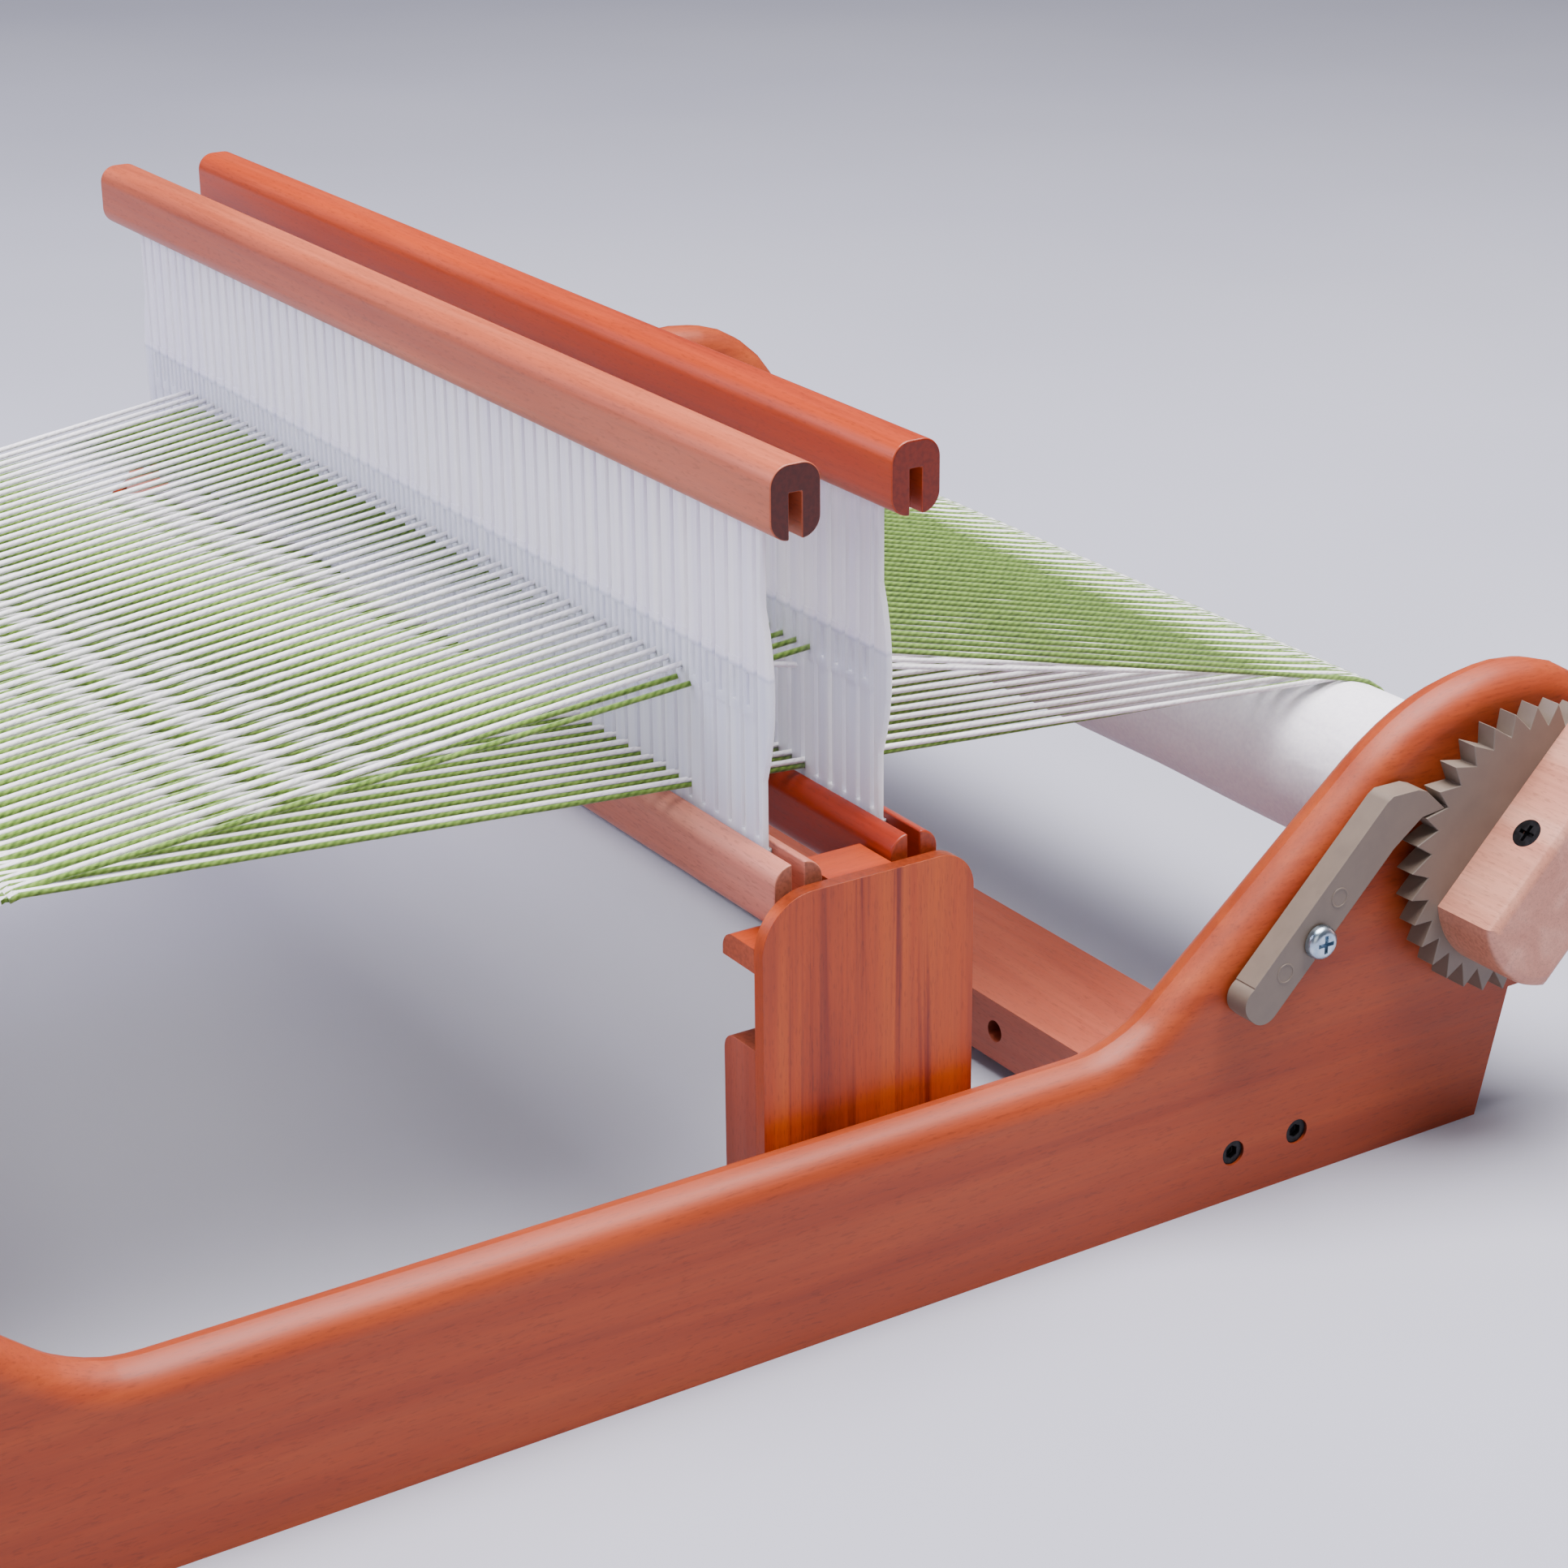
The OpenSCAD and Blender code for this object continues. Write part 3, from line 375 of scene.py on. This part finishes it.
def rolled_paper():
    """Smooth white lining paper, faintly cockled where it was wound with the warp."""
    material, tree, shader, place = start("rolled_paper")
    stretch = add(tree, "Mapping", {"Vector": place.outputs["Object"], "Scale": spaced(55.56, 16.67, 16.67)})
    cockle = add(tree, "TexNoise", {
        "Vector": stretch.outputs[0], "Scale": 1.0, "Detail": 3, "Distortion": 0.8,
    })
    fibre = add(tree, "TexNoise", {"Vector": place.outputs["Object"], "Scale": spaced(1.4286), "Detail": 3})
    tone = add(tree, "ValToRGB", {"Fac": fibre.outputs["Fac"]}, stops=[(0.3, "#eeebf6"), (0.7, "#faf8ff")])
    bump = add(tree, "Bump", {"Height": cockle.outputs["Fac"], "Strength": 0.35, "Distance": 2 * MM})
    fill(tree, shader, {"Base Color": tone.outputs[0], "Roughness": 0.8, "Normal": bump.outputs[0]})
    return material


def wool_yarn(name, dark, mid, pale):
    """Two-ply knitting wool: plies that twist round each other, softened by a halo of hairs.
    The UV map runs along a thread in metres and once round it."""
    material, tree, shader, place = start(name)
    turns = PLIES * 2 * WAVE_UNIT
    along = add(tree, "Mapping", {"Vector": place.outputs["UV"], "Scale": (turns / PLY_PITCH, turns, 1)})
    plies = add(tree, "TexWave",
        {"Vector": along.outputs[0], "Scale": 1.0, "Distortion": 0.4, "Detail": 2},
        wave_type="BANDS", bands_direction="DIAGONAL")
    # hairs: coarser than real ones so that they show
    hairs = add(tree, "Mapping", {"Vector": place.outputs["Object"], "Scale": spaced(1.111, 3.846, 1.111)})
    fluff = add(tree, "TexNoise", {
        "Vector": hairs.outputs[0], "Scale": 1.0, "Detail": 4, "Roughness": 0.7,
    })
    relief_and_shade = add(tree, "Math", {0: plies.outputs["Fac"], 1: 0.3, 2: fluff.outputs["Fac"]},
        operation="MULTIPLY_ADD")
    # painted shade: dark in the groove where the plies meet, pale on their crests, mottled by the hairs' own
    # uneven tone
    tone = add(tree, "ValToRGB", {"Fac": relief_and_shade.outputs[0]},
        stops=[(0.34, dark), (0.55, mid), (0.85, pale)])
    bump = add(tree, "Bump", {"Height": relief_and_shade.outputs[0], "Strength": 0.45, "Distance": 0.3 * MM})
    fill(tree, shader, {
        "Base Color": tone.outputs[0], "Normal": bump.outputs[0], "Roughness": 0.9,
        "Sheen Weight": 0.35, "Sheen Roughness": 0.5,
    })
    return material


def plain_weave():
    """Balanced plain weave: green and white ends by turns, crossed by a white weft.
    The UV map counts threads, one unit to each."""
    material, tree, shader, place = start("plain_weave")
    apart = add(tree, "SeparateXYZ", {"Vector": place.outputs["UV"]})
    turn = add(tree, "Math", {0: apart.outputs[0], 1: 2.0}, operation="MODULO")
    is_green = add(tree, "Math", {0: turn.outputs[0], 1: 1.0}, operation="GREATER_THAN")
    end_tone = add(tree, "Mix",
        {SHARE: is_green.outputs[0], FIRST: linear("#efedf2"), SECOND: linear("#56791e")}, **REPLACE)
    crossed = add(tree, "TexChecker", {
        "Vector": place.outputs["UV"], "Color1": end_tone.outputs[RESULT], "Color2": linear("#f1eff4"),
        "Scale": 1.0,
    })
    # painted shade: darker in the gaps between the threads, where the two sets of bands meet, mottled by the
    # hairs; the same bands raise the bump
    across = add(tree, "TexWave", {"Vector": place.outputs["UV"], "Scale": WAVE_UNIT},
        wave_type="BANDS", bands_direction="X")
    down = add(tree, "TexWave", {"Vector": place.outputs["UV"], "Scale": WAVE_UNIT},
        wave_type="BANDS", bands_direction="Y")
    gap = add(tree, "Math", {0: across.outputs["Fac"], 1: down.outputs["Fac"]}, operation="MULTIPLY")
    # hairs: coarser than real ones so that they show
    hairs = add(tree, "TexNoise", {
        "Vector": place.outputs["Object"], "Scale": spaced(0.9091), "Detail": 4, "Roughness": 0.7,
    })
    relief_and_shade = add(tree, "Math", {0: hairs.outputs["Fac"], 1: 0.4, 2: gap.outputs[0]},
        operation="MULTIPLY_ADD")
    painted_gap_shade = add(tree, "ValToRGB", {"Fac": relief_and_shade.outputs[0]}, stops=[(0.05, 0.5), (0.5, 1.0)])
    colour = add(tree, "Mix",
        {SHARE: 0.8, FIRST: crossed.outputs["Color"], SECOND: painted_gap_shade.outputs[0]}, **MULTIPLY)
    bump = add(tree, "Bump", {"Height": relief_and_shade.outputs[0], "Strength": 0.7, "Distance": 0.5 * MM})
    fill(tree, shader, {
        "Base Color": colour.outputs[RESULT], "Normal": bump.outputs[0], "Roughness": 0.92,
        "Sheen Weight": 0.3,
    })
    return material


def studio_paint():
    """Matt pale grey floor paint with a faint wide cloud in it."""
    material, tree, shader, place = start("studio_paint")
    cloud = add(tree, "TexNoise", {"Vector": place.outputs["Object"], "Scale": spaced(333.3), "Detail": 2})
    tone = add(tree, "ValToRGB", {"Fac": cloud.outputs["Fac"]}, stops=[(0.3, "#a8aab8"), (0.7, "#aeb0bd")])
    fill(tree, shader, {"Base Color": tone.outputs[0], "Roughness": 0.9})
    return material


# Wood of each group of pieces
panel_beech = beech("panel_beech", "Y", "#a8491e", "#9a3c16", "#89300f", "#60200a", gloss=0.5)
rail_beech = beech("rail_beech", "X", "#ab573e", "#9f4b34", "#913f2a", "#6c2c1c", gloss=0.46)
block_beech = beech("block_beech", "Z", "#b4543a", "#a6462a", "#98391f", "#8f4028", gloss=0.46)
plate_wood = beech("plate_wood", "Z", "#c05408", "#ac4002", "#943000", "#7a2a04", gloss=0.36,
    streaks=0.9)
ledge_wood = beech("ledge_wood", "Y", "#b84a1c", "#aa3d10", "#962f08", "#a84a28", gloss=0.42)
pale_rail = beech("pale_rail", "X", "#bb6244", "#ac5233", "#9c4428", "#4c1408", gloss=0.44)
pale_low_rail = beech("pale_low_rail", "X", "#cc846e", "#c47560", "#b4654f", "#9c5a44", gloss=0.46)
oiled_rail = beech("oiled_rail", "X", "#b74a22", "#a83c14", "#962e0c", "#741e04", gloss=0.38)
oiled_low_rail = beech("oiled_low_rail", "X", "#a23006", "#922503", "#801c00", "#983a1a", gloss=0.38)
roller_beech = beech("roller_beech", "X", "#ab6746", "#a05a3a", "#904c2e", "#7c4028", gloss=0.5)
nylon = moulded_nylon()
zinc = zinc_plate()
blacked = black_oxide()
milky = reed_polypropylene()
paper = rolled_paper()
white_wool = wool_yarn("white_wool", "#dddae6", "#f6f4fa", "#fdfcff")
green_wool = wool_yarn("green_wool", "#38520e", "#56791e", "#76983a")
weave = plain_weave()

# ---- hard pieces ----------------------------------------------------------

record = frame["record"]
BODY_OF = {node: body for body, nodes in record["behaviour"]["bodies"].items() for node in nodes}


def machined(node, material, arris, segments=2):
    """A merged copy of a CAD node with its sharp edges eased, shown in its place."""
    piece = frame["nodes"][node].copy()
    piece.data = piece.data.copy()
    piece.name = node + "_finished"
    bpy.context.collection.objects.link(piece)
    select_only(piece)
    bpy.ops.mesh.customdata_custom_splitnormals_clear()
    bpy.ops.object.mode_set(mode="EDIT")
    bpy.ops.mesh.select_all(action="SELECT")
    bpy.ops.mesh.remove_doubles(threshold=MERGE_GAP)
    bpy.ops.mesh.dissolve_limited(angle_limit=math.radians(FLAT_DEG))
    bpy.ops.object.mode_set(mode="OBJECT")
    if arris:
        bevel = piece.modifiers.new("arris", "BEVEL")
        bevel.width = arris
        bevel.segments = segments
        bevel.limit_method = "ANGLE"
        bevel.angle_limit = math.radians(SHARP_DEG)
        bevel.use_clamp_overlap = True
    smooth(piece, SHARP_DEG + 2)
    weighted = piece.modifiers.new("flats", "WEIGHTED_NORMAL")
    weighted.keep_sharp = True
    apply_all(piece)
    dress(piece, material)
    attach(piece, BODY_OF[node])
    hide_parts(node)


def keep(node, material):
    """Gives a CAD node that is shown as it is its finish."""
    dress(frame["nodes"][node], material)


for node in ("right_side_panel", "left_side_panel"):
    machined(node, panel_beech, 0.5 * MM)
for node in ("rear_cross_rail", "front_cross_rail"):
    machined(node, rail_beech, 0.8 * MM, 3)
for node in ("right_support_plate", "left_support_plate"):
    machined(node, plate_wood, 0.6 * MM, 3)
for node in ("right_lower_block", "left_lower_block"):
    machined(node, block_beech, 0.5 * MM)
for node in ("right_upper_block", "left_upper_block"):
    machined(node, ledge_wood, 0.6 * MM)
machined("front_heddle_top_rail", pale_rail, 0.5 * MM, 3)
machined("front_heddle_bottom_rail", pale_low_rail, 0.5 * MM, 3)
machined("back_heddle_top_rail", oiled_rail, 0.5 * MM, 3)
machined("back_heddle_bottom_rail", oiled_low_rail, 0.5 * MM, 3)
for node in ("front_reed", "back_reed"):
    keep(node, milky)
for end, way in (("rear", -1), ("front", 1)):
    handle_beech = beech(end + "_handle_beech", "Y", "#d9a08c", "#cc8c76", "#ba7864", "#b87a62",
        gloss=0.4, lean=way * math.pi / 4)
    machined(end + "_roller", roller_beech, 0.6 * MM)
    machined(end + "_ratchet", nylon, 0.25 * MM)
    machined(end + "_handle", handle_beech, 0.3 * MM)
    machined(end + "_pawl", nylon, 0.5 * MM)
    machined(end + "_roller_cap", nylon, 0.8 * MM, 3)
    machined(end + "_handle_screw", blacked, 0.15 * MM)
    machined(end + "_cap_screw", zinc, 0.15 * MM)
    machined(end + "_pawl_screw", zinc, 0.15 * MM)
    keep(end + "_pawl_spacer", zinc)
machined("cross_rail_screws", blacked, 0.2 * MM)
machined("support_screws", zinc, 0)

# ---- paths and meshes -------------------------------------------------------

random.seed(11)


def centre(node):
    low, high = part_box(node)
    return (low + high) / 2


def at(x, y, z):
    return Vector((x, y, z))


def line(a, b, step):
    """Points from a to b, one about every step."""
    count = max(2, int(math.ceil((b - a).length / step)) + 1)
    return [a.lerp(b, i / (count - 1)) for i in range(count)]


def rows(points):
    """A path's points as rows of numbers."""
    return np.array([list(point) for point in points])


def headings(p):
    """The way that a path runs at each of its points, as unit rows."""
    way = np.gradient(p, axis=0)
    return way / np.linalg.norm(way, axis=1)[:, None]


def run_along(p):
    """The length of a path up to each of its points."""
    return np.concatenate([[0], np.cumsum(np.linalg.norm(np.diff(p, axis=0), axis=1))])


def evenly(points, step):
    """The same path with its points one step apart."""
    p = rows(points)
    run = run_along(p)
    marks = np.arange(0, run[-1], step)
    return [Vector([np.interp(mark, run, p[:, k]) for k in range(3)]) for mark in marks]


def mesh_of(name, corners, faces, uvs):
    """A mesh with a UV map, which has a pair of numbers for each corner of each face."""
    mesh = bpy.data.meshes.new(name)
    mesh.from_pydata([tuple(corner) for corner in corners], [], faces)
    layer = mesh.uv_layers.new(name="UVMap")
    layer.data.foreach_set("uv", np.array(uvs, np.float32).ravel())
    return mesh


def lies_on(point, axis, radius, side):
    """Where a thread from point meets a roll from above; side is 1 for a roll behind the
    point and -1 for one in front."""
    y = (axis.y - point.y) * side
    z = axis.z - point.z
    reach = math.hypot(y, z)
    way = math.atan2(z, y) + math.asin(radius / reach)
    run = math.sqrt(reach * reach - radius * radius)
    return at(point.x, point.y + side * run * math.cos(way), point.z + run * math.sin(way))


def wound_on(meets, axis, radius, side, degrees, sink, step=12):
    """Points that follow the roll on from where the thread meets it, sinking at the end."""
    begin = math.degrees(math.atan2(meets.z - axis.z, (meets.y - axis.y) * side))
    points = []
    for turn in np.linspace(0, degrees, int(degrees / step) + 1)[1:]:
        a = math.radians(begin - turn)
        sunk = max(0, (turn / degrees - SINK_FROM) / (1 - SINK_FROM))
        r = radius - sink * sunk ** 2
        points.append(at(meets.x, axis.y + side * r * math.cos(a), axis.z + r * math.sin(a)))
    return points


front_reed = centre("front_reed")
back_reed = centre("back_reed")
rear_axis = centre("rear_roller")
front_axis = centre("front_roller")
reed_left = centre("front_heddle_top_rail").x - REED_LENGTH / 2
paper_low, paper_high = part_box("warp_paper")
PAPER_R = (paper_high.z - paper_low.z) / 2
WARP_R = PAPER_R + YARN_STANDS * YARN_R
cloth_low, cloth_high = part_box("cloth_winding")
CLOTH_R = (cloth_high.z - cloth_low.z) / 2
warp_middle = (cloth_low.x + cloth_high.x) / 2

# ---- warp threads ---------------------------------------------------------


def tubes(name, paths, radius):
    """One mesh of threads. Its UV map runs along each thread in metres, and once round it."""
    corners, faces, uvs = [], [], []
    for path in paths:
        p = rows(path)
        way = headings(p)
        side = np.array([1.0, 0, 0]) - way * way[:, :1]
        side /= np.linalg.norm(side, axis=1)[:, None]
        up = np.cross(way, side)
        along = run_along(p) + random.random() * PLY_PITCH
        thick = [radius * random.uniform(1 - YARN_VARIES, 1 + YARN_VARIES) for _ in p]
        first = len(corners)
        for i in range(len(p)):
            for k in range(YARN_SIDES):
                a = 2 * math.pi * k / YARN_SIDES
                corners.append(p[i] + thick[i] * (math.cos(a) * side[i] + math.sin(a) * up[i]))
        for i in range(len(p) - 1):
            row = first + i * YARN_SIDES
            above = row + YARN_SIDES
            for k in range(YARN_SIDES):
                n = (k + 1) % YARN_SIDES
                faces.append((row + k, row + n, above + n, above + k))
                v0, v1 = k / YARN_SIDES, (k + 1) / YARN_SIDES
                uvs += [(along[i], v0), (along[i], v1), (along[i + 1], v1), (along[i + 1], v0)]
        last = first + (len(p) - 1) * YARN_SIDES
        faces.append(tuple(first + k for k in reversed(range(YARN_SIDES))))
        faces.append(tuple(last + k for k in range(YARN_SIDES)))
        uvs += [(along[0], 0.5)] * YARN_SIDES + [(along[-1], 0.5)] * YARN_SIDES
    mesh = mesh_of(name, corners, faces, uvs)
    mesh.polygons.foreach_set("use_smooth", [len(face) == 4 for face in faces])
    mesh.update()
    return new_piece(name, mesh)


white_eye, green_eye, white_slot, green_slot = [], [], [], []
for group in range(GROUPS):
    eye_x = reed_left + REED_EDGE + (FIRST_EYE + group + 0.5) * EYE_PITCH
    slot_x = eye_x + EYE_PITCH / 2
    back_eye_x = eye_x + EYE_PITCH
    # a group takes eight draws, and its four ends on the rear roller use the first four
    strays = [random.uniform(-END_STRAYS, END_STRAYS) * MM for _ in range(8)]
    fell_x = [warp_middle + (eye_x + k * END_PITCH - warp_middle) * DRAW_IN
        for k in range(GROUP_ENDS)]
    rear_x = [eye_x + (k + 1) * END_PITCH + strays[k] for k in range(GROUP_ENDS)]
    for kind, fell_at, rear_at, mid in (
        (white_eye, 0, 0, at(eye_x, front_reed.y, EYE_Z)),
        (green_eye, 1, 3, at(back_eye_x, back_reed.y, EYE_Z - BACK_EYE_DROP)),
        (white_slot, 2, 2, at(slot_x - SLOT_APART, back_reed.y, SLOT_Z + SLOT_STEP)),
        (green_slot, 3, 1, at(slot_x + SLOT_APART, back_reed.y, SLOT_Z)),
    ):
        fell = at(fell_x[fell_at], FELL.y, FELL.z)
        meets = lies_on(mid, rear_axis, WARP_R, 1)
        meets.x = rear_x[rear_at]
        kind.append((fell, mid, meets))


def thread_paths(ends, part):
    """The front stretch of each end, from the fell to its reed, or the rear one to the roll."""
    paths = []
    for fell, mid, meets in ends:
        if part == "front":
            paths.append([fell + TUCK] + line(fell, mid, RING_GAP))
        else:
            on_roll = wound_on(meets, rear_axis, WARP_R, 1, WRAP_DEG, PAPER_DEPTH)
            paths.append(line(mid, meets, RING_GAP) + on_roll)
    return paths


# Name, ends, wool, slot, the heddle that holds them, and the CAD nodes that each half replaces
WARP = (
    ("white_eye", white_eye, white_wool, "white_yarn", "front_heddle",
        ("warp_front_upper",), ()),
    ("green_eye", green_eye, green_wool, "green_yarn", "back_heddle",
        ("warp_middle_upper",), ("warp_rear_upper",)),
    ("white_slot", white_slot, white_wool, "white_yarn", "back_heddle",
        ("warp_middle_lower",), ("warp_rear_lower",)),
    ("green_slot", green_slot, green_wool, "green_yarn", "back_heddle",
        ("warp_front_lower",), ()),
)
for name, ends, wool, slot, heddle, front_nodes, rear_nodes in WARP:
    fell, mid, meets = ends[0]
    ahead = tubes(name + "_ends_front", thread_paths(ends, "front"), YARN_R)
    behind = tubes(name + "_ends_rear", thread_paths(ends, "rear"), YARN_R)
    for piece, nodes in ((ahead, front_nodes), (behind, rear_nodes)):
        dress(piece, wool)
        if nodes:
            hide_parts(*nodes)
    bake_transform(ahead)
    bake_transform(behind)

# ---- paper on the rear roller --------------------------------------------


def paper_roll():
    """A sheet wound loosely with the warp: a spiral with soft flats and a free edge."""
    steps = int(PAPER_TURNS * 60)
    columns = 56
    inner = PAPER_R - PAPER_DEPTH
    corners = []
    for i in range(steps + 1):
        grow = i / steps
        a = math.radians(PAPER_END_DEG) + (grow - 1) * PAPER_TURNS * 2 * math.pi
        base = inner + (PAPER_R - inner - PAPER_T) * grow
        lift = PAPER_EDGE_LIFT * max(0, grow - 1 + PAPER_EDGE_SHARE) / PAPER_EDGE_SHARE
        for j in range(columns + 1):
            s = j / columns
            x = paper_low.x + (paper_high.x - paper_low.x) * s
            soft = sum(high * math.sin(round_it * a + along * s + begin)
                for high, round_it, along, begin in PAPER_WAVES)
            r = base + soft * MM * grow + lift
            corners.append((x, rear_axis.y + r * math.cos(a), rear_axis.z - r * math.sin(a)))
    faces = []
    for i in range(steps):
        for j in range(columns):
            corner = i * (columns + 1) + j
            faces.append((corner, corner + 1, corner + columns + 2, corner + columns + 1))
    mesh = bpy.data.meshes.new("warp_paper_roll")
    mesh.from_pydata(corners, [], faces)
    piece = new_piece("warp_paper_roll", mesh)
    thicken(piece, PAPER_T)
    bpy.ops.object.mode_set(mode="EDIT")
    bpy.ops.mesh.select_all(action="SELECT")
    bpy.ops.mesh.normals_make_consistent(inside=False)
    bpy.ops.object.mode_set(mode="OBJECT")
    smooth(piece, 50)
    dress(piece, paper)
    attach(piece, "rear_roller")
    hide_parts("warp_paper")


paper_roll()

# ---- cloth ------------------------------------------------------------------


def cloth_piece(name, path, left, right):
    """Woven cloth along a path in Y and Z: one corner to each crossing, raised by turns."""
    columns = GROUPS * GROUP_ENDS
    corners, uvs, faces = [], [], []
    p = rows(path)
    up = np.cross(headings(p), np.array([1.0, 0, 0]))
    for i in range(len(p)):
        for j in range(columns):
            high = CLOTH_RELIEF if (i + j) % 2 else -CLOTH_RELIEF
            edge = SELVEDGE_WAVE * math.sin(i * SELVEDGE_STEP) if j in (0, columns - 1) else 0
            x = left + (right - left) * j / (columns - 1) + edge
            corners.append((x, p[i][1] + up[i][1] * high, p[i][2] + up[i][2] * high))
    for i in range(len(p) - 1):
        for j in range(columns - 1):
            corner = i * columns + j
            faces.append((corner, corner + 1, corner + columns + 1, corner + columns))
            uvs += [(j + 0.5, i + 0.5), (j + 1.5, i + 0.5), (j + 1.5, i + 1.5), (j + 0.5, i + 1.5)]
    piece = new_piece(name, mesh_of(name, corners, faces, uvs))
    thicken(piece, CLOTH_T)
    smooth(piece, 60)
    dress(piece, weave)
    return piece


def spiral(points=181):
    """The middle of the wound cloth, from its outer end inwards."""
    path = []
    for i in range(points):
        share = i / (points - 1)
        a = math.radians(CLOTH_START_DEG) - share * CLOTH_TURNS * 2 * math.pi
        r = CLOTH_R - CLOTH_OUTER - share * CLOTH_CLOSES
        path.append(at(0, front_axis.y - r * math.cos(a), front_axis.z + r * math.sin(a)))
    return path


cloth_left = white_eye[0][0].x
cloth_right = green_slot[-1][0].x
cloth_meets = lies_on(FELL, front_axis, CLOTH_R + CLOTH_STANDS, -1)
held_path = wound_on(cloth_meets, front_axis, CLOTH_R + CLOTH_STANDS, -1, CLOTH_HOLD_DEG, CLOTH_SINK, 5)
flat_path = evenly([FELL, cloth_meets] + held_path, PICK_PITCH)
flat_cloth = cloth_piece("cloth_to_roller", flat_path, cloth_left, cloth_right)
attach(flat_cloth, "frame")
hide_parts("woven_cloth")

wound_path = evenly(spiral(), PICK_PITCH)
wound_cloth = cloth_piece("cloth_on_roller", wound_path, cloth_left, cloth_right)
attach(wound_cloth, "front_roller")
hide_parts("cloth_winding")

# ---- stage ------------------------------------------------------------------


def studio():
    bpy.ops.mesh.primitive_plane_add(size=FLOOR_SIDE, location=(0, 0, 0))
    floor = bpy.context.object
    floor.name = "studio_floor"
    dress(floor, studio_paint())
    for name, place, size, power, tint in LAMPS:
        lamp = bpy.data.lights.new(name, "AREA")
        lamp.energy = power
        lamp.size = size
        lamp.color = linear(tint)[:3]
        holder = bpy.data.objects.new(name, lamp)
        bpy.context.collection.objects.link(holder)
        holder.location = place
        holder.rotation_euler = (LAMPS_AIM - Vector(place)).to_track_quat("-Z", "Y").to_euler()
    world = bpy.data.worlds.new("studio")
    bpy.context.scene.world = world
    world.use_nodes = True
    world.node_tree.nodes["Background"].inputs[0].default_value = linear("#c9cce0")
    world.node_tree.nodes["Background"].inputs[1].default_value = WORLD_STRENGTH


def camera():
    """Looks down at the right-hand heddle support from the weaver's right."""
    level = math.cos(CAMERA_ELEVATION)
    back = at(math.sin(CAMERA_AZIMUTH) * level, -math.cos(CAMERA_AZIMUTH) * level,
        math.sin(CAMERA_ELEVATION))
    right = at(math.cos(CAMERA_AZIMUTH), math.sin(CAMERA_AZIMUTH), 0)
    up = back.cross(right)
    side = math.cos(CAMERA_ROLL) * right + math.sin(CAMERA_ROLL) * up
    top = -math.sin(CAMERA_ROLL) * right + math.cos(CAMERA_ROLL) * up
    lens = bpy.data.cameras.new("weaver_view")
    lens.lens = CAMERA_LENS
    lens.sensor_width = CAMERA_SENSOR
    eye = bpy.data.objects.new("weaver_view", lens)
    bpy.context.collection.objects.link(eye)
    turned = Matrix((side, top, back)).transposed().to_4x4()
    eye.matrix_world = Matrix.Translation(CAMERA_PLACE) @ turned
    bpy.context.scene.camera = eye


studio()
camera()
